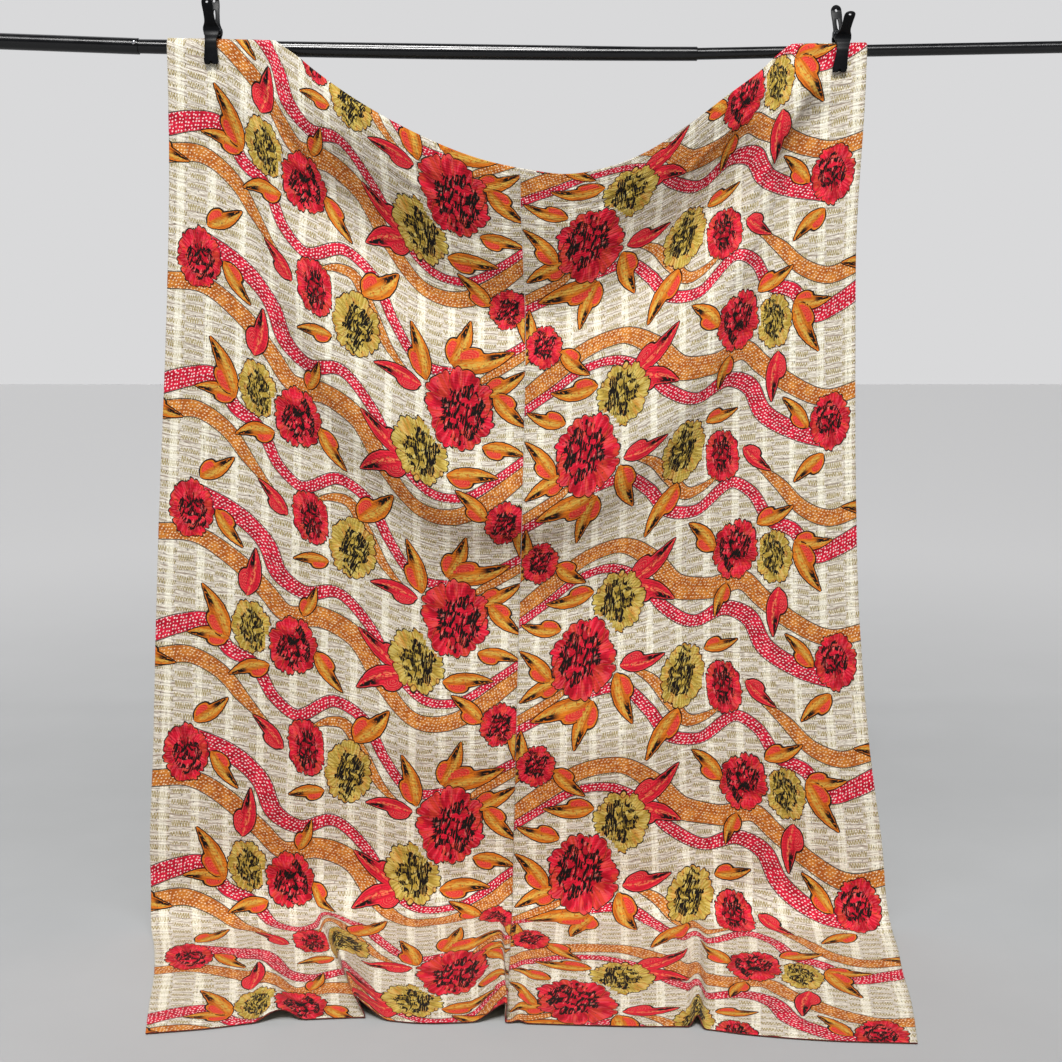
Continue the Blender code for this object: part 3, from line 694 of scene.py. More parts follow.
class Value:
    """A shader value that adds and multiplies like a number."""

    def __init__(self, graph, socket):
        self.graph, self.socket = graph, socket

    def __add__(self, other):
        return self.graph.calc("ADD", self, other)

    __radd__ = __add__

    def __sub__(self, other):
        return self.graph.calc("SUBTRACT", self, other)

    def __rsub__(self, other):
        return self.graph.calc("SUBTRACT", other, self)

    def __mul__(self, other):
        return self.graph.calc("MULTIPLY", self, other)

    __rmul__ = __mul__

    def __truediv__(self, other):
        return self.graph.calc("DIVIDE", self, other)

    def __rtruediv__(self, other):
        return self.graph.calc("DIVIDE", other, self)

    def __pow__(self, other):
        return self.graph.calc("POWER", self, other)

    def __abs__(self):
        return self.graph.calc("ABSOLUTE", self)


class Graph:
    """Writes one material's nodes."""

    def __init__(self, name):
        self.mat = bpy.data.materials.new(name)
        self.mat.use_nodes = True
        self.tree = self.mat.node_tree
        self.tree.nodes.clear()
        out = self.tree.nodes.new("ShaderNodeOutputMaterial")
        self.shader = self.tree.nodes.new("ShaderNodeBsdfPrincipled")
        self.tree.links.new(self.shader.outputs["BSDF"], out.inputs["Surface"])

    def put(self, socket, value):
        if isinstance(value, Value):
            self.tree.links.new(value.socket, socket)
        elif value is not None:
            socket.default_value = value

    def node(self, kind, **settings):
        n = self.tree.nodes.new(kind)
        for key, value in settings.items():
            setattr(n, key, value)
        return n

    def calc(self, operation, a, b=None, c=None, clamp=False):
        n = self.node("ShaderNodeMath", operation=operation, use_clamp=clamp)
        for k, value in enumerate((a, b, c)):
            self.put(n.inputs[k], value)
        return Value(self, n.outputs[0])

    def sin(self, a):
        return self.calc("SINE", a)

    def root(self, a):
        return self.calc("SQRT", a)

    def low(self, a, b):
        return self.calc("MINIMUM", a, b)

    def high(self, a, b):
        return self.calc("MAXIMUM", a, b)

    def part(self, a):
        return self.calc("FRACT", a)

    def whole(self, a):
        return self.calc("FLOOR", a)

    def clip(self, a):
        return self.calc("ADD", a, 0.0, clamp=True)

    def over(self, a, limit):
        return self.calc("GREATER_THAN", a, limit)

    def ramp(self, a, start, end):
        """0 at start, 1 at end, smooth between; start may be above end."""
        n = self.node("ShaderNodeMapRange", interpolation_type="SMOOTHSTEP")
        self.put(n.inputs["Value"], a)
        self.put(n.inputs["From Min"], start)
        self.put(n.inputs["From Max"], end)
        return Value(self, n.outputs["Result"])

    def vec(self, x, y, z=0.0):
        n = self.node("ShaderNodeCombineXYZ")
        for k, value in enumerate((x, y, z)):
            self.put(n.inputs[k], value)
        return Value(self, n.outputs[0])

    def attribute(self, name):
        """The x, y and z of a face-corner attribute."""
        a = self.node("ShaderNodeAttribute", attribute_name=name)
        s = self.node("ShaderNodeSeparateXYZ")
        self.tree.links.new(a.outputs["Vector"], s.inputs[0])
        return tuple(Value(self, s.outputs[k]) for k in range(3))

    def noise(self, x, y, z=None, detail=0.0, rough=0.5):
        n = self.node("ShaderNodeTexNoise", noise_dimensions="2D" if z is None else "3D")
        self.put(n.inputs["Vector"], self.vec(x, y, 0.0 if z is None else z))
        n.inputs["Scale"].default_value = 1.0
        n.inputs["Detail"].default_value = detail
        n.inputs["Roughness"].default_value = rough
        return Value(self, n.outputs[0])

    def cells(self, x, y, feature="F1", random=1.0, output="Distance"):
        n = self.node("ShaderNodeTexVoronoi", voronoi_dimensions="2D", feature=feature)
        self.put(n.inputs["Vector"], self.vec(x, y))
        n.inputs["Scale"].default_value = 1.0
        n.inputs["Randomness"].default_value = random
        return Value(self, n.outputs[output])

    def mix(self, factor, a, b, blend="MIX"):
        n = self.node("ShaderNodeMix", data_type="RGBA", blend_type=blend)
        n.clamp_factor = True
        self.put(n.inputs[0], factor)
        self.put(n.inputs[6], a)
        self.put(n.inputs[7], b)
        return Value(self, n.outputs[2])

    def bump(self, height, distance, strength=1.0):
        n = self.node("ShaderNodeBump")
        n.inputs["Strength"].default_value = strength
        n.inputs["Distance"].default_value = distance
        self.put(n.inputs["Height"], height)
        self.put(self.shader.inputs["Normal"], Value(self, n.outputs[0]))


INK = srgb(15, 12, 12)


def ground(g, u, v):
    """Cream cloth with its brick-laid hatch and fine lines across."""
    drift = g.noise(u * 0.22, v * 0.22, detail=1.0)
    uu = u + (drift - 0.5) * 0.9
    wob = g.noise(u * 0.14 + 40.0, v * 0.5, detail=1.0)
    vv = v + (wob - 0.5) * 1.3
    column = uu / 3.9
    odd = g.calc("FLOORED_MODULO", g.whole(column), 2.0)
    row = g.part(vv / 2.10 + odd * 0.5)
    inside = row / 0.46                                   # 0 to 1 within a hatch block
    in_block = g.ramp(row, 0.475, 0.455) * g.ramp(abs(g.part(column) - 0.5), 0.475, 0.455)
    zig = abs(g.part(uu / 0.50) - 0.5) * 2.0
    away = abs(inside - zig) * 0.25
    fibre = g.noise(u * 1.3, v * 1.2, detail=1.0)
    hatch = g.ramp(away, 0.115, 0.035) * in_block * g.ramp(fibre, 0.18, 0.46)
    wash = in_block * g.ramp(g.noise(u * 0.9, v * 0.7 + 9.0), 0.20, 0.75)
    lines = abs(g.part(vv / 0.70) - 0.5) * 2.0
    broken = g.ramp(g.noise(u * 0.16, v * 2.2 + 3.0, detail=1.0), 0.32, 0.46)
    line = g.ramp(lines, 0.60, 0.88) * broken * (1.0 - in_block * 0.6)
    slub = g.noise(u * 1.1, v * 7.5, detail=2.0, rough=0.6)
    base = g.mix(g.ramp(slub, 0.32, 0.68), srgb(178, 169, 154), srgb(233, 226, 212))
    base = g.mix(line * 0.80, base, srgb(142, 124, 110))
    base = g.mix(wash * 0.20, base, srgb(204, 190, 140))
    base = g.mix(hatch * 0.92, base, srgb(142, 124, 62))
    # satin warp stripes lie in the ground; their whiter colour is a painted sheen
    satin_sheen_band = g.ramp(abs(g.part(u / 6.42 + 0.12) - 0.5) * 6.42, 0.98, 0.60)
    sheen = satin_sheen_band * g.ramp(g.noise(u * 2.0, v * 0.16, detail=1.0), 0.20, 0.55)
    return g.mix(sheen * 0.44, base, srgb(242, 237, 222))


def ribbons(g, base, pink, orange):
    """Dotted pink and orange ribbons with thin dark outlines."""
    for (d, s, half), fills, dot_colour, seed in (
            (orange, (srgb(194, 120, 48), srgb(166, 88, 30)), srgb(232, 206, 168), 5.0),
            (pink, (srgb(202, 30, 58), srgb(168, 14, 40)), srgb(246, 220, 218), 1.0)):
        excess = abs(d) - half
        fill = g.ramp(excess, 0.05, -0.05)
        patch = g.noise(s * 0.5 + seed, d * 0.6, detail=1.0)
        colour = g.mix(g.ramp(patch, 0.35, 0.65), fills[0], fills[1])
        dots = g.cells(s / 0.72 + d / 1.44 + seed, d / 0.62, random=0.46)
        size = g.noise(s * 1.3, d * 1.3 + seed) * 0.16 + 0.13
        colour = g.mix(g.ramp(dots - size, 0.08, -0.06) * 0.86, colour, dot_colour)
        base = g.mix(fill, base, colour)
        line = g.ramp(abs(excess - 0.10), 0.135, 0.055) * g.ramp(half, 0.06, 0.2)
        base = g.mix(line * 0.94, base, INK)
    return base


def leaf(g, base, along, across, code):
    """One leaf: bent blade with a round lobe, dark outline and tip stroke."""
    red = g.over(code, 50.0)
    length = code - red * 100.0
    bend = g.sin(along * math.pi) * 0.050
    q = across + bend - 0.015
    t = g.clip(along)
    blade = (g.sin((t ** 0.76) * math.pi) ** 0.80) * 0.152 + 0.004
    waver = g.noise(along * 9.0 + length, across * 9.0) - 0.5
    d_blade = abs(q) - blade + waver * 0.016
    lx, lq = (along - 0.285) / 0.235, (across - 0.092 - (along - 0.285) * 0.16) / 0.142
    d_lobe = (g.root(lx * lx + lq * lq) - 1.0) * 0.154 + waver * 0.012
    near = g.high(0.030 - abs(d_blade - d_lobe), 0.0)
    d = g.low(d_blade, d_lobe) - near * near * 8.0 + g.ramp(abs(along - 0.5), 0.499, 0.52) * 0.5
    scaled = d * length                                    # centimetres from the outline
    fill = g.ramp(scaled, 0.05, -0.05)
    streak = g.noise(along * 3.0 + length * 3.1, q * 42.0, detail=1.0)
    fine = g.noise(along * 16.0, q * 34.0 + length, detail=1.0)

    # orange leaf
    o = g.mix(g.ramp(streak, 0.30, 0.70), srgb(204, 112, 26), srgb(164, 76, 18))
    band = g.ramp(abs(q + 0.02) / blade, 0.62, 0.10) * g.ramp(along, 0.02, 0.20) * g.ramp(along, 0.99, 0.80)
    o = g.mix(band * g.ramp(fine, 0.20, 0.62) * 0.80, o, srgb(202, 172, 78))
    # red leaf
    r = g.mix(g.ramp(streak, 0.30, 0.70), srgb(216, 34, 56), srgb(176, 20, 40))
    r = g.mix(g.ramp(abs(q) / blade, 0.42, 0.05) * g.ramp(fine, 0.40, 0.62) * 0.7, r, srgb(236, 142, 92))
    colour = g.mix(red, o, r)

    # the lobe: red with pale rings in an orange leaf, orange rings in a red one
    in_lobe = g.ramp(d_lobe, -0.026, -0.046) * g.ramp(across, 0.045, 0.085)
    rings = g.ramp(g.sin(d_lobe * 190.0 + fine * 5.0), 0.3, 0.9)
    lobe_o = g.mix(rings * 0.40, srgb(206, 46, 48), srgb(232, 130, 84))
    lobe_r = g.mix(rings * 0.45, srgb(200, 26, 48), srgb(236, 134, 110))
    colour = g.mix(in_lobe * 0.92, colour, g.mix(red, lobe_o, lobe_r))

    # rim just inside the outline, and the black stroke near the tip
    rim = g.ramp(scaled, -0.34, -0.16)
    colour = g.mix(rim * 0.75, colour, g.mix(red, srgb(216, 116, 30), srgb(222, 70, 66)))
    side = q / blade
    wedge = g.ramp(abs(side - 0.42), 0.46, 0.26) * g.ramp(along, 0.50, 0.66) * g.ramp(along, 0.97, 0.90)
    colour = g.mix(wedge * g.ramp(fine, 0.28, 0.40), colour, INK)
    vein = g.ramp(abs(side - 0.10) * blade * length, 0.08, 0.03) * g.ramp(along, 0.10, 0.30) * g.ramp(along, 0.70, 0.55)
    colour = g.mix(vein * 0.35, colour, g.mix(red, srgb(150, 70, 24), srgb(120, 10, 24)))

    base = g.mix(fill, base, colour)
    line = g.ramp(abs(scaled - 0.03), 0.175, 0.090)
    return g.mix(line * 0.98, base, INK)


def flower(g, base, x, y, code):
    """One open flower: scalloped petals, streaks, and a dark feathered heart."""
    olive = g.over(code, 50.0)
    size = code - olive * 100.0
    seed = size * 3.7
    bend = g.noise(x * 1.5 + seed, y * 1.5, detail=1.0) - 0.5
    r = g.root(x * x + y * y)
    angle = g.calc("ARCTAN2", y, x)
    turned = angle + bend * 1.5
    petal = abs(g.sin(turned * 3.5 + seed))                # 0 between petals
    scallop = abs(g.sin(angle * 11.5 + seed * 1.7 + bend * 6.0))
    rim = (petal ** 0.5) * 0.150 + (scallop ** 0.7) * 0.075 + bend * 0.16 + 0.775
    d = r - rim
    scaled = d * size
    fill = g.ramp(scaled, 0.05, -0.05)
    inv = 1.0 / g.high(r, 0.05)
    cx, cy = x * inv, y * inv
    streak = g.noise(cx * 7.0 + seed, cy * 7.0, r * 1.6, detail=1.0)
    patchy = g.noise(x * 2.6 + seed * 3.0, y * 2.6 + 11.0)
    thread = g.noise(cx * 15.0 + bend * 3.0, cy * 15.0 + seed, r * 2.6) + (patchy - 0.5) * 0.30
    cloud = g.noise(x * 2.3 + seed * 2.0, y * 2.3, detail=1.0)

    # petals
    red = g.mix(g.ramp(cloud, 0.34, 0.66), srgb(164, 10, 32), srgb(212, 24, 52))
    red = g.mix(g.ramp(thread, 0.52, 0.66) * 0.42, red, srgb(132, 10, 26))
    gold = g.mix(g.ramp(cloud, 0.34, 0.66), srgb(164, 136, 52), srgb(190, 162, 74))
    gold = g.mix(g.ramp(thread, 0.52, 0.62) * 0.45, gold, srgb(138, 116, 44))
    colour = g.mix(olive, red, gold)
    warm = g.ramp(g.noise(x * 2.6 + 20.0 + seed, y * 2.6 + 7.0, detail=1.0), 0.50, 0.64)
    tint = g.mix(olive, srgb(216, 84, 46), srgb(206, 128, 56))
    colour = g.mix(warm * g.ramp(streak, 0.30, 0.60) * g.ramp(r, 0.30, 0.60) * 0.50, colour, tint)
    rimmed = g.ramp(scaled, -0.40, -0.10) * g.ramp(g.noise(cx * 1.6, cy * 1.6 + seed), 0.36, 0.52)
    colour = g.mix(rimmed * 0.75, colour, tint)
    pale = g.ramp(thread, 0.46, 0.38) * g.ramp(r, 0.35, 0.55)
    colour = g.mix(pale * 0.30, colour, g.mix(olive, srgb(236, 96, 108), srgb(226, 214, 140)))
    between = g.ramp(petal, 0.26, 0.05) * g.ramp(r, 0.40, 0.62)
    colour = g.mix(between * 0.40, colour, tint)
    crease = g.ramp(petal, 0.10, 0.02) * g.ramp(r, 0.55, 0.70)
    colour = g.mix(crease * 0.75, colour, INK)

    # the heart: small petals parted by black, feathered strokes
    hx, hy = x - 0.05, y - 0.06
    reach = g.root(hx * hx + hy * hy * 0.74)
    feather_edge = g.noise(cx * 13.0, cy * 13.0 + seed, r * 1.5) - 0.5
    zone = g.ramp(reach + bend * 0.5 + feather_edge * 0.16, 0.70, 0.50)
    feather = g.noise(hx * 15.0 + hy * 4.0 + seed, hy * 3.6, detail=1.0)
    pool = g.ramp(g.noise(hx * 3.4 + seed, hy * 2.6 + seed, detail=1.0), 0.42, 0.62)
    parted = g.cells(hx * 3.1 + bend * 3.0 + seed, hy * 3.8 + feather * 0.9, feature="DISTANCE_TO_EDGE", random=1.0)
    kept = g.ramp(g.noise(hx * 2.7 + 31.0, hy * 2.2 + seed), 0.40, 0.56)
    hair = g.noise(hx * 30.0 + hy * 8.0, hy * 3.6 + seed, detail=1.0)
    black = g.ramp(parted - feather * 0.38 - pool * 0.20 + (1.0 - zone) * 0.46 + kept * 0.08, 0.03, -0.03)
    black = black * g.ramp(hair, 0.31, 0.39)
    colour = g.mix(black, colour, INK)
    glint = zone * g.ramp(feather, 0.36, 0.26) * g.ramp(parted, 0.02, 0.10)
    colour = g.mix(glint * 0.40, colour, g.mix(olive, srgb(244, 150, 140), srgb(232, 220, 150)))

    base = g.mix(fill, base, colour)
    line = g.ramp(abs(scaled - 0.03), 0.18, 0.09)
    return g.mix(line * 0.96, base, INK)


def cloth(name, with_ribbons, leaves, with_flower):
    """Printed face of the quilt, for faces that hold these kinds of motif."""
    g = Graph(name)
    u, v, _ = g.attribute("chart")
    colour = ground(g, u, v)
    if with_ribbons:
        colour = ribbons(g, colour, g.attribute("ribbon_pink"), g.attribute("ribbon_orange"))
    for k in range(leaves):
        colour = leaf(g, colour, *g.attribute(("leaf_b", "leaf_a")[k] if leaves == 2 else "leaf_a"))
    if with_flower:
        colour = flower(g, colour, *g.attribute("flower"))

    # painted sheen of the satin warp stripes lightens the print, and dark running stitches cross it
    across, down, _ = g.attribute("flat")
    satin_sheen_band = g.ramp(abs(g.part(u / 6.42 + 0.12) - 0.5) * 6.42, 0.98, 0.60)
    colour = g.mix(satin_sheen_band, colour, (1.09, 1.11, 1.09, 1.0), blend="MULTIPLY")
    jig = g.noise(across * 0.9, down * 0.33, detail=1.0)
    column = across / 2.45 + (jig - 0.5) * 0.10
    stagger = g.whole(column) * 0.37
    tick = g.ramp(abs(g.part(column) - 0.5) * 2.45, 0.10, 0.05) \
        * g.ramp(abs(g.part(down / 1.96 + stagger) - 0.5) * 1.96, 0.20, 0.13)
    colour = g.mix(tick * 0.75, colour, srgb(52, 46, 46))
    weave = g.noise(across * 9.0, down * 5.0, detail=2.0, rough=0.7)
    colour = g.mix(g.ramp(weave, 0.35, 0.75) * 0.16, colour, srgb(70, 58, 48))

    # rows of stitching draw the cloth into fine ridges across it
    wave = g.noise(across * 0.22, down * 0.5, detail=1.0)
    ridge = g.sin(down * 9.4 + wave * 9.0) * 0.5
    pucker = g.noise(across * 0.9, down * 1.7, detail=1.0)
    grain = g.noise(across * 14.0, down * 9.0, detail=1.0)
    g.bump(ridge * 0.34 + pucker * 0.9 + grain * 0.20 - tick * 0.45, 0.0011, 0.75)
    shader = g.shader
    g.put(shader.inputs["Base Color"], colour)
    shader.inputs["Roughness"].default_value = 0.86
    shader.inputs["Specular IOR Level"].default_value = 0.10
    shader.inputs["Sheen Weight"].default_value = 0.04
    shader.inputs["Sheen Roughness"].default_value = 0.45
    return g.mat


# ----------------------------------------------------------- the cloth's pieces
ROD_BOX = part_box("rod_left")
SHIFT_Y = (ROD_BOX[0].y + ROD_BOX[1].y) / 2.0
EPS = 0.0015

# Small relief of the quilted cloth: wavelengths across and down, height, all
# in metres. The last rows are the drawn-up ripples between rows of stitching.
RELIEF = (
    # across, down,   height
    (0.120, 0.050, 0.0009),
    (0.045, 0.026, 0.0006),
    (0.024, 0.013, 0.00045),
)

# Soft creases laid on the flat cloth: from u, v to u, v, half-width
# and height, in metres. Negative ones are troughs.
CREASES = (
    # u0,   v0,    u1,    v1,    width, height
    (1.440, 0.070, 1.200, 0.360, 0.014, 0.0048),
    (1.425, 0.115, 1.170, 0.430, 0.013, -0.0048),
    (1.455, 0.140, 1.300, 0.500, 0.015, 0.0045),
    (1.440, 0.180, 1.240, 0.620, 0.018, -0.0050),
    (1.380, 0.034, 1.020, 0.170, 0.011, 0.0034),
    (1.300, 0.330, 1.080, 0.640, 0.020, 0.0045),
    (0.105, 0.110, 0.290, 0.360, 0.014, 0.0045),
    (0.120, 0.085, 0.360, 0.270, 0.012, -0.0040),
    (0.085, 0.150, 0.190, 0.500, 0.015, -0.0045),
    (0.070, 0.180, 0.120, 0.560, 0.015, 0.0030),
    (0.460, 0.100, 0.640, 0.130, 0.012, 0.0035),
    (0.900, 0.120, 1.080, 0.080, 0.012, -0.0035),
    (0.560, 0.200, 0.900, 0.190, 0.018, -0.0030),
)


def relief_noise(rng, uu, vv, across, down):
    """Soft random relief of the given wavelengths, from -1 to 1."""
    table = rng.uniform(-1.0, 1.0, (int(QUILT_WIDTH / across) + 4, int(QUILT_LENGTH / down) + 4))
    a, b = uu / across + 1.0, vv / down + 1.0
    i, j = np.floor(a).astype(int), np.floor(b).astype(int)
    fa, fb = smooth(a - i), smooth(b - j)
    low = table[i, j] * (1.0 - fa) + table[i + 1, j] * fa
    high = table[i, j + 1] * (1.0 - fa) + table[i + 1, j + 1] * fa
    return low * (1.0 - fb) + high * fb


def crease_height(uu, vv):
    total = np.zeros_like(uu)
    for u0, v0, u1, v1, width, height in CREASES:
        du, dv = u1 - u0, v1 - v0
        t = ((uu - u0) * du + (vv - v0) * dv) / (du * du + dv * dv)
        tc = np.clip(t, 0.0, 1.0)
        d = np.hypot(uu - u0 - tc * du, vv - v0 - tc * dv)
        total += height * smooth(tc / 0.22) * smooth((1.0 - tc) / 0.45) * np.exp(-(d / width) ** 2)
    return total


def normals_of(points):
    along_u = np.gradient(points, axis=0)
    along_v = np.gradient(points, axis=1)
    normal = np.cross(along_v, along_u)
    return normal / np.linalg.norm(normal, axis=-1, keepdims=True)


def cloth_points(uu, vv):
    """Front and back faces of a panel with its small relief."""
    middle = surface(uu, vv)
    rng = np.random.default_rng(41)
    relief = np.zeros_like(uu)
    for across, down, height in RELIEF:
        relief += height * relief_noise(rng, uu, vv, across, down)
    # the rows of stitching draw the cloth up into ripples across it
    drift = relief_noise(rng, uu, vv, 0.10, 0.10)
    strength = 0.6 + 0.4 * relief_noise(rng, uu, vv, 0.16, 0.07)
    relief += 0.00038 * strength * np.sin(2.0 * math.pi * (vv / 0.0165 + 1.3 * drift))
    creases = crease_height(uu, vv)
    axis_z = rod_z(middle[..., 0])
    from_rod = np.hypot(middle[..., 1], middle[..., 2] - axis_z)
    clear = smooth((from_rod - 0.017) / 0.030)
    creases = np.where(creases < 0.0, creases * smooth((from_rod - 0.03) / 0.05), creases)
    edge = smooth(np.minimum(np.minimum(vv, QUILT_LENGTH - vv) / 0.02, np.minimum(uu, QUILT_WIDTH - uu) / 0.012) + 0.25)
    grounded = smooth((0.045 - middle[..., 2]) / 0.035)
    relief = relief * edge * (0.25 + 0.75 * clear)
    relief = relief + grounded * 0.0022
    middle = middle + normals_of(middle) * (relief + creases * clear)[..., None]
    normal = normals_of(middle)
    middle[..., 1] += SHIFT_Y
    front = middle + normal * SHEET_THICKNESS / 2.0
    back = middle - normal * SHEET_THICKNESS / 2.0
    for face in (front, back):
        face[..., 2] = np.maximum(face[..., 2], 0.0002)
    return front, back


def cloth_piece(name, u_values, v_values, chart_u, chart_v, materials):
    """One panel as a closed sheet with the print's attributes on its corners.

    materials: by motif (list), then reverse, turned hem and side edge.
    """
    uu, vv = np.meshgrid(u_values, v_values, indexing="ij")
    front, back = cloth_points(uu, vv)
    nu, nv = uu.shape
    half = nu * nv
    index = np.arange(half).reshape(nu, nv)
    a, b, c, d = index[:-1, :-1], index[1:, :-1], index[1:, 1:], index[:-1, 1:]
    turn = [0, 3, 2, 1]                                   # corners seen from the front
    front_faces = np.stack((a, d, c, b), axis=-1).reshape(-1, 4)
    back_faces = np.stack((a, b, c, d), axis=-1).reshape(-1, 4) + half
    rims = []
    for line, flip in ((index[:, 0], False), (index[:, -1], True), (index[0, :], True), (index[-1, :], False)):
        p, q = (line[1:], line[:-1]) if flip else (line[:-1], line[1:])
        rims.append(np.stack((p, q, q + half, p + half), axis=-1))
    faces = np.concatenate([front_faces, back_faces] + rims)

    mesh = bpy.data.meshes.new(name)
    verts = np.concatenate((front.reshape(-1, 3), back.reshape(-1, 3)))
    mesh.vertices.add(len(verts))
    mesh.vertices.foreach_set("co", verts.ravel())
    mesh.loops.add(faces.size)
    mesh.loops.foreach_set("vertex_index", faces.ravel().astype(np.int32))
    mesh.polygons.add(len(faces))
    mesh.polygons.foreach_set("loop_start", np.arange(0, faces.size, 4, dtype=np.int32))
    mesh.update(calc_edges=True)
    mesh.polygons.foreach_set("use_smooth", np.ones(len(faces), dtype=bool))

    # the print's places, face by face
    cu = chart_u(uu)
    cv = chart_v(vv, cu)
    flat = np.stack((corners_of(uu), corners_of(vv), np.zeros((nu - 1, nv - 1, 4))), axis=-1) * 100.0
    chart = np.stack((corners_of(cu), corners_of(cv), np.zeros((nu - 1, nv - 1, 4))), axis=-1)
    flowers = flower_places(cu, cv)
    first, second = leaf_places(cu, cv)
    pink = ribbon_places(PINK_RIBBONS, cu, cv)
    orange = ribbon_places(ORANGE_RIBBONS, cu, cv)
    n_front = len(front_faces)
    rest = np.concatenate(rims)
    flat_all = (np.stack((uu, vv, np.zeros_like(uu)), axis=-1) * 100.0).reshape(-1, 3)
    chart_all = np.stack((cu, cv, np.zeros_like(cu)), axis=-1).reshape(-1, 3)
    for key, data, everywhere in (("flat", flat, flat_all), ("chart", chart, chart_all), ("flower", flowers, None),
                                  ("leaf_a", first, None), ("leaf_b", second, None),
                                  ("ribbon_pink", pink, None), ("ribbon_orange", orange, None)):
        values = np.full((len(faces), 4, 3), FAR)
        values[:n_front] = data[:, :, turn, :].reshape(-1, 4, 3)
        values[n_front:2 * n_front] = data.reshape(-1, 4, 3)
        if everywhere is not None:
            values[2 * n_front:] = everywhere[rest % half]
        layer = mesh.attributes.new(key, "FLOAT_VECTOR", "CORNER")
        layer.data.foreach_set("vector", values.astype(np.float32).ravel())

    # which printed material each face needs
    has_flower = flowers[..., 0, 2] != FAR
    has_leaf = first[..., 0, 2] != FAR
    has_leaf_2 = second[..., 0, 2] != FAR
    has_ribbon = (pink[..., 0, 0] != FAR) | (orange[..., 0, 0] != FAR)
    kind = np.where(has_flower, 4, np.where(has_leaf_2, 3, np.where(has_leaf, 2, np.where(has_ribbon, 1, 0))))
    slots = np.empty(len(faces), dtype=np.int32)
    slots[:n_front] = kind.reshape(-1)
    slots[n_front:2 * n_front] = 5
    counts = [len(r) for r in rims]
    slots[2 * n_front:2 * n_front + counts[0] + counts[1]] = 6
    slots[2 * n_front + counts[0] + counts[1]:] = 7
    mesh.polygons.foreach_set("material_index", slots)
    for mat in materials:
        mesh.materials.append(mat)

    # a bake layout: front, back and the four rims side by side
    uv = np.zeros((len(faces), 4, 2))
    across = (uu - u_values[0]).reshape(-1)
    down = vv.reshape(-1)
    wide = u_values[-1] - u_values[0]
    place = faces % half
    uv[..., 0], uv[..., 1] = across[place], down[place]
    uv[n_front:2 * n_front, :, 0] += wide + 0.012
    start = 2 * n_front
    for k, rim in enumerate(rims):
        rows = slice(start, start + len(rim))
        run = across[rim % half] if k < 2 else down[rim % half]
        side = (rim >= half).astype(float) * 0.008
        uv[rows, :, 0] = 2.0 * wide + 0.030 + 0.016 * k + side
        uv[rows, :, 1] = run
        start += len(rim)
    uv[..., 0] = 0.002 + uv[..., 0] / (2.0 * wide + 0.11)
    uv[..., 1] = 0.002 + uv[..., 1] / (QUILT_LENGTH * 1.003)
    layer = mesh.uv_layers.new(name="OFBake")
    layer.data.foreach_set("uv", uv.astype(np.float32).ravel())
    mesh.validate()
    obj = bpy.data.objects.new(name, mesh)
    bpy.context.scene.collection.objects.link(obj)
    return obj


def reverse_side(name):
    """Back of the quilt: plain natural cotton, the print faint through it."""
    g = Graph(name)
    u, v, _ = g.attribute("chart")
    across, down, _ = g.attribute("flat")
    slub = g.noise(across * 1.4, down * 8.0, detail=2.0, rough=0.6)
    base = g.mix(g.ramp(slub, 0.30, 0.70), srgb(214, 200, 172), srgb(232, 222, 198))
    faint = g.attribute("ribbon_pink")
    shade = g.ramp(abs(faint[0]) - faint[2], 0.3, -0.3)
    base = g.mix(shade * 0.14, base, srgb(196, 120, 116))
    jig = g.noise(across * 0.9, down * 0.33, detail=1.0)
    column = across / 2.45 + (jig - 0.5) * 0.10
    stagger = g.whole(column) * 0.37 + 0.5
    tick = g.ramp(abs(g.part(column) - 0.5) * 2.45, 0.10, 0.05) \
        * g.ramp(abs(g.part(down / 1.96 + stagger) - 0.5) * 1.96, 0.42, 0.34)
    base = g.mix(tick * 0.60, base, srgb(74, 66, 60))
    weave = g.noise(across * 9.0, down * 5.0, detail=2.0, rough=0.7)
    base = g.mix(g.ramp(weave, 0.35, 0.75) * 0.18, base, srgb(150, 132, 104))
    pucker = g.noise(across * 0.9, down * 1.7, detail=1.0)
    grain = g.noise(across * 14.0, down * 9.0, detail=1.0)
    g.bump(pucker * 0.9 + grain * 0.22 - tick * 0.4, 0.0011, 0.75)
    g.put(g.shader.inputs["Base Color"], base)
    g.shader.inputs["Roughness"].default_value = 0.88
    g.shader.inputs["Specular IOR Level"].default_value = 0.2
    return g.mat


def edge_side(name, dark, light):
    """Turned edge: layered cotton seen end on."""
    g = Graph(name)
    across, down, _ = g.attribute("flat")
    fray = g.noise(across * 3.0, down * 3.0, detail=3.0, rough=0.6)
    base = g.mix(g.ramp(fray, 0.36, 0.64), dark, light)
    g.put(g.shader.inputs["Base Color"], base)
    g.bump(fray, 0.0006, 0.8)
    g.shader.inputs["Roughness"].default_value = 0.9
    g.shader.inputs["Specular IOR Level"].default_value = 0.2
    return g.mat


printed = [
    cloth("print_ground", False, 0, False),
    cloth("print_ribbons", True, 0, False),
    cloth("print_leaf", True, 1, False),
    cloth("print_leaves", True, 2, False),
    cloth("print_flower", True, 2, True),
    reverse_side("quilt_reverse"),
    edge_side("quilt_hem", srgb(60, 26, 26), srgb(128, 52, 46)),
    edge_side("quilt_side", srgb(196, 182, 152), srgb(228, 218, 196)),
]

COLUMNS = 126
ROWS = 382
close_rows = int(ROWS * 0.14)
down_rows = np.concatenate((np.linspace(0.0, 0.160, close_rows + 1),
                            np.linspace(0.160, QUILT_LENGTH, ROWS - close_rows + 1)[1:]))
left_columns = np.linspace(0.0, PANEL_WIDTH - SEAM_GAP / 2.0, COLUMNS + 1)
right_columns = np.linspace(PANEL_WIDTH + SEAM_GAP / 2.0, QUILT_WIDTH, COLUMNS + 1)

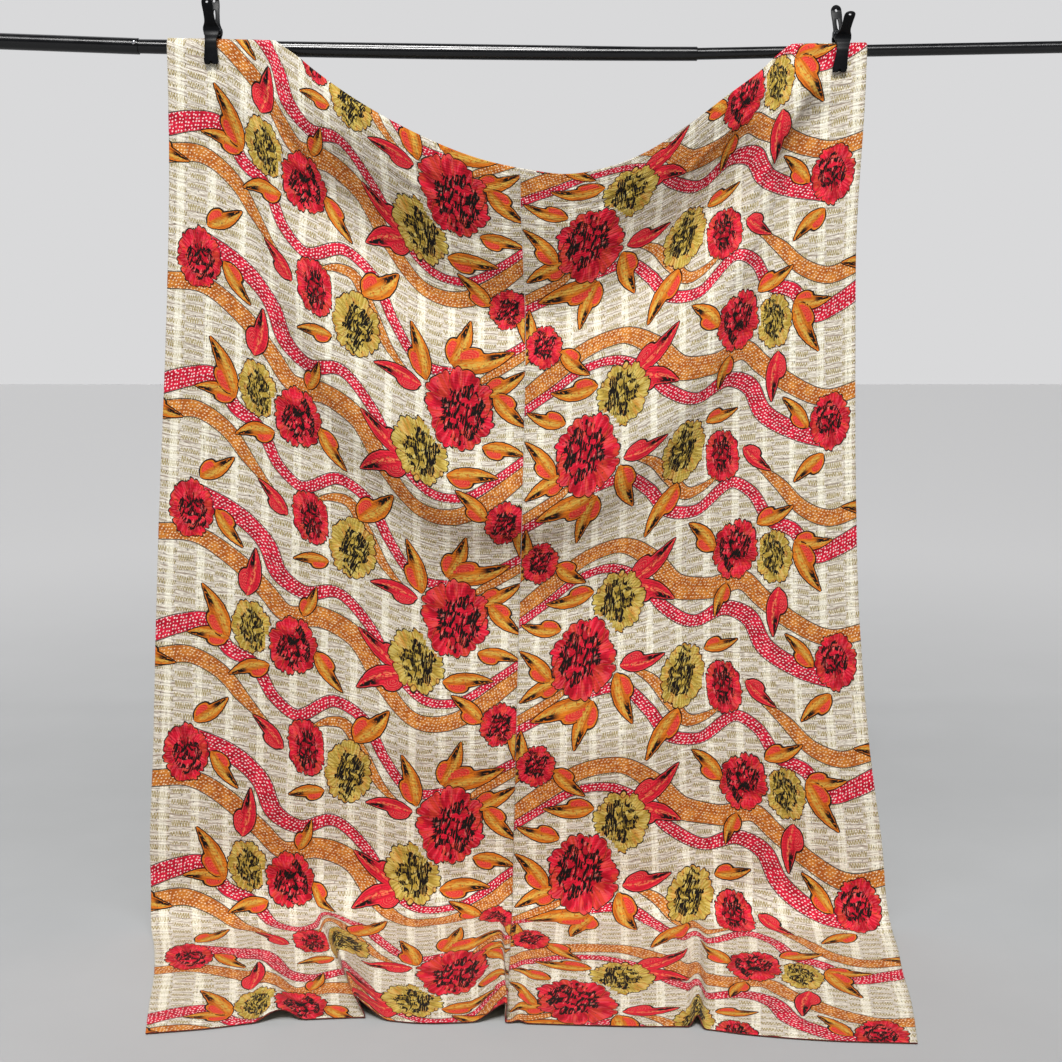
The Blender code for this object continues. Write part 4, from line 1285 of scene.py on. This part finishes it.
cloth_left = cloth_piece("quilt_left_cloth", left_columns, down_rows,
                         lambda u: u * 100.0,
                         lambda v, cu: (v - PHASE_LEFT) * 100.0 - slipped(SLIP_LEFT, cu, v), printed)
cloth_right = cloth_piece("quilt_right_cloth", right_columns, down_rows,
                          lambda u: (QUILT_WIDTH - u) * 100.0 + SHIFT_RIGHT,
                          lambda v, cu: (PHASE_RIGHT - v) * 100.0 - curve_through(DRIFT_RIGHT, cu, 1)
                          + slipped(SLIP_RIGHT, cu, v), printed)


# ------------------------------------------------------------ rod, plugs, clips
def piece_from(name, verts, faces, mat, sharp=35.0):
    mesh = bpy.data.meshes.new(name)
    mesh.from_pydata([tuple(v) for v in verts], [], faces)
    mesh.validate()
    bm = bmesh.new()
    bm.from_mesh(mesh)
    bmesh.ops.remove_doubles(bm, verts=bm.verts, dist=1e-7)
    bmesh.ops.recalc_face_normals(bm, faces=bm.faces)
    for face in bm.faces:
        face.smooth = True
    for edge in bm.edges:
        if len(edge.link_faces) == 2 and edge.calc_face_angle(0.0) > math.radians(sharp):
            edge.smooth = False
    bm.to_mesh(mesh)
    bm.free()
    mesh.materials.append(mat)
    obj = bpy.data.objects.new(name, mesh)
    bpy.context.scene.collection.objects.link(obj)
    return obj


def turned(name, profile, mat, centre=(0.0, 0.0, 0.0), axis=None, segments=64, closed=False):
    """Turned about a line along X: profile rows are (x, radius). axis(x) gives z."""
    verts, faces = [], []
    for x, radius in profile:
        at_z = centre[2] + (float(axis(centre[0] + x)) if axis else 0.0)
        for k in range(segments):
            a = 2.0 * math.pi * k / segments
            verts.append((centre[0] + x, centre[1] + radius * math.cos(a), at_z + radius * math.sin(a)))
    count = len(profile)
    last = count if closed else count - 1
    for s in range(last):
        t = (s + 1) % count
        for k in range(segments):
            n = (k + 1) % segments
            faces.append((s * segments + k, s * segments + n, t * segments + n, t * segments + k))
    if not closed:
        faces.append(tuple(range(segments)))
        faces.append(tuple((count - 1) * segments + k for k in range(segments)))
    return piece_from(name, verts, faces, mat)


def speckled(name, dark, light, roughness, metallic=0.0, scale=260.0, relief=0.00002, gloss=0.26):
    """Moulded or painted finish: fine grain in colour, gloss and surface."""
    g = Graph(name)
    coord = g.node("ShaderNodeTexCoord")
    split_xyz = g.node("ShaderNodeSeparateXYZ")
    g.tree.links.new(coord.outputs["Object"], split_xyz.inputs[0])
    x, y, z = (Value(g, split_xyz.outputs[k]) for k in range(3))
    grain = g.noise(x * scale, y * scale, z * scale, detail=2.0)
    worn = g.noise(x * scale * 0.06, y * scale * 0.06, z * scale * 0.06, detail=3.0)
    g.put(g.shader.inputs["Base Color"], g.mix(worn * 0.6 + grain * 0.4, dark, light))
    g.put(g.shader.inputs["Roughness"], g.clip(roughness + (worn - 0.5) * 0.22 + (grain - 0.5) * 0.10))
    g.shader.inputs["Metallic"].default_value = metallic
    g.shader.inputs["Specular IOR Level"].default_value = gloss
    g.bump(grain, relief, 0.6)
    return g.mat


def tube(name, x_from, x_to, outer, wall, mat, lip=0.0006):
    """Hollow rod section along the rod's own line, with softened ends."""
    xs = np.linspace(x_from + 2.0 * lip, x_to - 2.0 * lip, max(6, int((x_to - x_from) / 0.02)))
    ends = [(x_from, outer - lip), (x_from + 0.3 * lip, outer - 0.3 * lip), (x_from + lip, outer)]
    profile = ends + [(x, outer) for x in xs]
    profile += [(x_to - lip, outer), (x_to - 0.3 * lip, outer - 0.3 * lip), (x_to, outer - lip)]
    profile += [(x_to, outer - wall), (x_from, outer - wall)]
    return turned(name, profile, mat, centre=(0.0, SHIFT_Y, 0.0), axis=rod_z, closed=True)


def plate(name, outline, holes, half_thick, place, mat, soft=0.0009):
    """Flat plate cut to an outline with holes, edges rounded, then set in place."""
    curve = bpy.data.curves.new(name + "_outline", "CURVE")
    curve.dimensions = "2D"
    curve.fill_mode = "BOTH"
    curve.extrude = half_thick - soft
    curve.bevel_depth = soft
    curve.bevel_resolution = 2
    curve.offset = -soft
    for ring in [outline] + holes:
        spline = curve.splines.new("POLY")
        spline.points.add(len(ring) - 1)
        for point, (x, y) in zip(spline.points, ring):
            point.co = (x, y, 0.0, 1.0)
        spline.use_cyclic_u = True
    helper = bpy.data.objects.new(name + "_outline", curve)
    bpy.context.scene.collection.objects.link(helper)
    bpy.context.view_layer.update()
    raw = bpy.data.meshes.new_from_object(helper.evaluated_get(bpy.context.evaluated_depsgraph_get()))
    verts = [place(*v.co) for v in raw.vertices]
    faces = [tuple(p.vertices) for p in raw.polygons]
    bpy.data.objects.remove(helper, do_unlink=True)
    bpy.data.curves.remove(curve)
    bpy.data.meshes.remove(raw)
    return piece_from(name, verts, faces, mat, sharp=40.0)


def ring_of(x, y, radius_x, radius_y, count=24):
    return [(x + radius_x * math.cos(2.0 * math.pi * k / count), y + radius_y * math.sin(2.0 * math.pi * k / count))
            for k in range(count)]


# One clip arm: height above the rod's axis, distance out from it, half-width.
ARM = (
    # z,      out,    half-width
    (-0.0330, 0.0252, 0.0118),
    (-0.0310, 0.0252, 0.0126),
    (-0.0140, 0.0255, 0.0124),
    (0.0000, 0.0255, 0.0112),
    (0.0130, 0.0235, 0.0112),
    (0.0220, 0.0165, 0.0128),
    (0.0285, 0.0138, 0.0152),
    (0.0360, 0.0150, 0.0150),
    (0.0430, 0.0205, 0.0116),
    (0.0640, 0.0330, 0.0094),
    (0.0820, 0.0410, 0.0100),
    (0.0860, 0.0425, 0.0098),
)
HANDLE_TOP = 0.0955
HOLE_Z = 0.0862
NOTCH_HALF, NOTCH_DEEP = 0.0024, 0.0052
# Clip: x along the rod, how much lower it sits, and as shares of height the
# sideways spread of its two handles, their tilt, the lean of its jaw, and how
# far its front handle is pressed down and its rear one up.
CLIPS = (
    # name, x, lower, spread, tilt, lean, press, lift
    ("clip_left", -0.600, 0.0, 0.035, -0.06, 0.00, 0.20, -0.16),
    ("clip_right", 0.586, 0.009, 0.09, 0.03, 0.13, 0.36, -0.10),
)


def arm_outline():
    """Closed outline in (x, z): up one side, round the top, down, notch."""
    heights = np.linspace(ARM[0][0], 0.0860, 64)
    halves = curve_through(ARM, heights, 2)
    right_side = [(float(h), float(z)) for z, h in zip(heights, halves)]
    top = []
    end_half = right_side[-1][0]
    for k in range(1, 16):
        a = math.pi * k / 16.0
        top.append((end_half * math.cos(a), 0.0860 + (HANDLE_TOP - 0.0860) * math.sin(a)))
    left_side = [(-x, z) for x, z in reversed(right_side)]
    low = ARM[0][0]
    notch = [(-NOTCH_HALF - 0.0004, low), (-NOTCH_HALF, low + 0.0006), (-NOTCH_HALF, low + NOTCH_DEEP - 0.001),
             (-NOTCH_HALF + 0.001, low + NOTCH_DEEP), (NOTCH_HALF - 0.001, low + NOTCH_DEEP),
             (NOTCH_HALF, low + NOTCH_DEEP - 0.001), (NOTCH_HALF, low + 0.0006), (NOTCH_HALF + 0.0004, low)]
    return right_side + top + left_side + notch


def build_clip(prefix, x_centre, lower, spread, tilt, lean, press, lift, plastic, rubber, spring):
    base_z = float(rod_z(x_centre)) - lower
    cloth_face = float(wrap_radius(x_centre)) + SHEET_THICKNESS / 2.0
    reach = cloth_face + 0.0008 + 0.0026 + 0.0030
    extra = reach - 0.0252
    made = []

    def sideways(z, side):
        return (tilt - spread * side) * max(0.0, z - 0.034) + lean * min(0.0, z - 0.020)

    for side, word in ((-1.0, "front"), (1.0, "rear")):
        def place(x, z, depth, side=side):
            below = min(1.0, max(0.0, (0.026 - z) / 0.012))
            y = side * (float(curve_through(ARM, z, 1)) + extra * below) + depth
            sink = (press if side < 0.0 else lift) * max(0.0, z - 0.034)
            return (x_centre + x + sideways(z, side), SHIFT_Y + y, base_z + z - sink)

        holes = [ring_of(0.0, HOLE_Z, 0.0026, 0.0026)]
        if word == "rear":
            holes.append(ring_of(0.0, 0.0610, 0.0020, 0.0105, 28))
        arm = plate(f"{prefix}_{word}_arm_fine", arm_outline(), holes, 0.0029, place, plastic)
        made.append((arm, "clip_plastic", f"{prefix}_arm_{word}"))

        inner, outer = cloth_face + 0.0005, cloth_face + 0.0027
        teeth = [(outer, -0.0305), (outer, -0.0155)]
        count = 10
        for k in range(count):
            z_here = -0.0155 - (0.0150 * k) / count
            teeth += [(inner + 0.0007, z_here), (inner, z_here - 0.00045), (inner, z_here - 0.00105)]
        teeth.append((inner + 0.0007, -0.0305))

        def set_pad(y, z, along, side=side):
            return (x_centre + along + sideways(z, side), SHIFT_Y + side * y, base_z + z)

        pad = plate(f"{prefix}_{word}_pad_fine", teeth, [], 0.0084, set_pad, rubber, soft=0.0002)
        made.append((pad, "clip_pad", f"{prefix}_pad_{word}"))

    profile = [(-0.0170, 0.0046), (-0.0167, 0.0058), (-0.0158, 0.0064), (-0.0140, 0.0064), (-0.0132, 0.0058)]
    for k in range(11):
        centre_x = -0.0115 + 0.0023 * k
        for step in range(-3, 4):
            a = step * math.pi / 7.0
            profile.append((centre_x + 0.00112 * math.sin(a), 0.0066 + 0.0011 * math.cos(a)))
    profile += [(0.0132, 0.0058), (0.0140, 0.0064), (0.0158, 0.0064), (0.0167, 0.0058), (0.0170, 0.0046)]
    barrel = turned(f"{prefix}_barrel_fine", profile, spring,
                    centre=(x_centre, SHIFT_Y, base_z + 0.0300 + lower), segments=48)
    made.append((barrel, "clip_barrel", f"{prefix}_barrel"))
    return made


hard = []
rod_paint = speckled("rod_black", srgb(4, 4, 6), srgb(10, 11, 13), 0.24, 0.0, scale=420.0, relief=0.000005, gloss=0.45)
end_plastic = speckled("plug_black", srgb(8, 8, 9), srgb(18, 18, 19), 0.45, scale=500.0)
clip_plastic = speckled("clip_black", srgb(6, 6, 8), srgb(13, 14, 17), 0.40, scale=620.0, gloss=0.12)
clip_rubber = speckled("pad_black", srgb(9, 9, 9), srgb(20, 20, 19), 0.70, scale=900.0, gloss=0.15)
spring_steel = speckled("spring_black", srgb(16, 17, 19), srgb(34, 36, 40), 0.34, 0.4, scale=700.0)
button_steel = speckled("button_bright", srgb(176, 178, 182), srgb(214, 215, 218), 0.24, 0.95, scale=900.0)

hard.append((tube("rod_left_tube", -ROD_HALF_LENGTH + PLUG_FLANGE, ROD_JOIN_X, ROD_RADIUS_LEFT, ROD_WALL, rod_paint),
             "rod_black_left", "rod_left"))
hard.append((tube("rod_middle_tube", ROD_JOIN_X - ROD_INSERT, ROD_LOW_X, ROD_RADIUS_MIDDLE, ROD_WALL, rod_paint),
             "rod_black_middle", "rod_middle"))
hard.append((tube("rod_right_tube", ROD_LOW_X - ROD_INSERT, ROD_HALF_LENGTH - PLUG_FLANGE, ROD_RADIUS_RIGHT, ROD_WALL,
                  rod_paint), "rod_black_right", "rod_right"))

for end, radius in ((-1.0, ROD_RADIUS_LEFT), (1.0, ROD_RADIUS_RIGHT)):
    word = "left" if end < 0.0 else "right"
    at_x = end * (ROD_HALF_LENGTH - PLUG_FLANGE + 0.0004)
    bore = radius - ROD_WALL - 0.0009
    rows = [(-0.0160, bore - 0.0012), (-0.0152, bore - 0.0003), (-0.0120, bore - 0.0003), (-0.0115, bore - 0.0007),
            (-0.0100, bore - 0.0007), (-0.0095, bore - 0.0003), (-0.0050, bore - 0.0003), (-0.0045, bore - 0.0007),
            (0.0, bore - 0.0007), (0.0002, radius - 0.0004), (0.0006, radius), (0.0026, radius),
            (0.0032, radius - 0.0003), (0.0035, radius - 0.0009), (0.0035, radius * 0.45), (0.0032, radius * 0.38)]
    rows = [(end * x, r) for x, r in rows]
    hard.append((turned(f"plug_{word}_fine", rows, end_plastic,
                        centre=(at_x, SHIFT_Y, float(rod_z(end * (ROD_HALF_LENGTH - PLUG_FLANGE))))),
                 f"plug_{word}", f"rod_plug_{word}"))

button_x = ROD_JOIN_X - 0.006
button_rows = ((0.0000, 0.0035), (-0.0011, 0.0035), (-0.0018, 0.0032), (-0.0024, 0.0026), (-0.0028, 0.0016), (-0.0030, 0.0006))
b_verts, b_faces = [], []
for depth, radius in button_rows:
    for k in range(32):
        a = 2.0 * math.pi * k / 32
        b_verts.append((button_x + radius * math.cos(a), SHIFT_Y - ROD_RADIUS_LEFT - 0.0004 + depth,
                        float(rod_z(button_x)) + 0.004 + radius * math.sin(a)))
for s_row in range(len(button_rows) - 1):
    for k in range(32):
        n = (k + 1) % 32
        b_faces.append((s_row * 32 + k, s_row * 32 + n, (s_row + 1) * 32 + n, (s_row + 1) * 32 + k))
b_faces.append(tuple(range(32)))
b_faces.append(tuple((len(button_rows) - 1) * 32 + k for k in range(32)))
hard.append((piece_from("button_fine", b_verts, b_faces, button_steel), "button", "rod_button"))

for prefix, x_centre, lower, spread, tilt, lean, press, lift in CLIPS:
    hard += build_clip(prefix, x_centre, lower, spread, tilt, lean, press, lift, clip_plastic, clip_rubber, spring_steel)


# ---------------------------------------------------------- floor, light, camera
def finished(piece, slot_name, *nodes):
    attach(piece, "root")
    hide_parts(*nodes)
    return piece


finished(cloth_left, "printed_cotton_left", "quilt_panel_left")
finished(cloth_right, "printed_cotton_right", "quilt_panel_right")
for piece, slot_name, node in hard:
    finished(piece, slot_name, node)

stage_mesh = bpy.data.meshes.new("studio_floor")
FLOOR_HALF = 30.0
stage_mesh.from_pydata([(-FLOOR_HALF, -FLOOR_HALF, 0.0), (FLOOR_HALF, -FLOOR_HALF, 0.0),
                        (FLOOR_HALF, FLOOR_HALF, 0.0), (-FLOOR_HALF, FLOOR_HALF, 0.0)], [], [(0, 1, 2, 3)])
floor = bpy.data.objects.new("studio_floor", stage_mesh)
bpy.context.scene.collection.objects.link(floor)
floor_finish = Graph("studio_floor")
tex = floor_finish.node("ShaderNodeTexCoord")
split = floor_finish.node("ShaderNodeSeparateXYZ")
floor_finish.tree.links.new(tex.outputs["Object"], split.inputs[0])
fx, fy = Value(floor_finish, split.outputs[0]), Value(floor_finish, split.outputs[1])
cloudy = floor_finish.noise(fx * 2.2, fy * 2.2, detail=4.0, rough=0.6)
# painted shade and light: the floor is coloured darker near the quilt and lighter with distance, so it fades into the
# backdrop; the cloudy mottling is its own random tone
near_floor = floor_finish.mix(cloudy, srgb(164, 165, 166), srgb(172, 173, 174))
painted_far_light = floor_finish.ramp(floor_finish.root(fx * fx + fy * fy), 0.9, 6.0)
floor_finish.put(floor_finish.shader.inputs["Base Color"],
                 floor_finish.mix(painted_far_light, near_floor, srgb(202, 202, 203)))
floor_finish.shader.inputs["Roughness"].default_value = 0.8
floor_finish.shader.inputs["Specular IOR Level"].default_value = 0.2
stage_mesh.materials.append(floor_finish.mat)

world = bpy.data.worlds.new("studio")
bpy.context.scene.world = world
world.use_nodes = True
backdrop = world.node_tree.nodes["Background"]
seen = world.node_tree.nodes.new("ShaderNodeLightPath")
pick = world.node_tree.nodes.new("ShaderNodeMix")
pick.data_type = "RGBA"
pick.inputs[6].default_value = srgb(84, 86, 90)        # what lights the scene
pick.inputs[7].default_value = srgb(217, 217, 218)        # what the camera sees
world.node_tree.links.new(seen.outputs["Is Camera Ray"], pick.inputs[0])
world.node_tree.links.new(pick.outputs[2], backdrop.inputs["Color"])
backdrop.inputs["Strength"].default_value = 1.0


def sun(name, towards, strength, spread, colour):
    """A far lamp; spread is its width in the sky in degrees, for soft shadows."""
    data = bpy.data.lights.new(name, "SUN")
    data.energy = strength
    data.angle = math.radians(spread)
    data.color = colour
    light = bpy.data.objects.new(name, data)
    light.location = (0.0, -1.0, 4.0)
    light.rotation_euler = Vector(towards).to_track_quat("-Z", "Y").to_euler()
    bpy.context.scene.collection.objects.link(light)
    return light


# a key from above the camera, weak ones from the right and behind
sun("key", (0.07, 0.64, -0.77), 2.90, 14.0, (1.0, 0.99, 0.97))
sun("fill", (-0.60, 0.75, -0.40), 0.12, 60.0, (0.97, 0.985, 1.0))
sun("behind", (0.35, -0.75, -0.55), 0.9, 70.0, (0.99, 0.99, 1.0))

# a long strip overhead gives the black rod its highlight
strip_data = bpy.data.lights.new("strip", "AREA")
strip_data.shape = "RECTANGLE"
strip_data.size, strip_data.size_y = 5.0, 0.16
strip_data.energy = 80.0
strip = bpy.data.objects.new("strip", strip_data)
strip.location = (0.0, -1.9, 3.9)
strip.rotation_euler = (Vector((0.0, SHIFT_Y, 1.7)) - strip.location).to_track_quat("-Z", "Y").to_euler()
bpy.context.scene.collection.objects.link(strip)

camera_data = bpy.data.cameras.new("front")
camera_data.sensor_width = 36.0
camera_data.lens = 36.0 * 1500.0 / 1062.0
camera_data.clip_start, camera_data.clip_end = 0.05, 200.0
camera = bpy.data.objects.new("front", camera_data)
camera.location = (0.0, -2.93 + SHIFT_Y, 1.177)
camera.rotation_euler = (math.radians(90.0 - 7.65), 0.0, 0.0)
bpy.context.scene.collection.objects.link(camera)
bpy.context.scene.camera = camera
bpy.context.scene.view_settings.view_transform = "Standard"
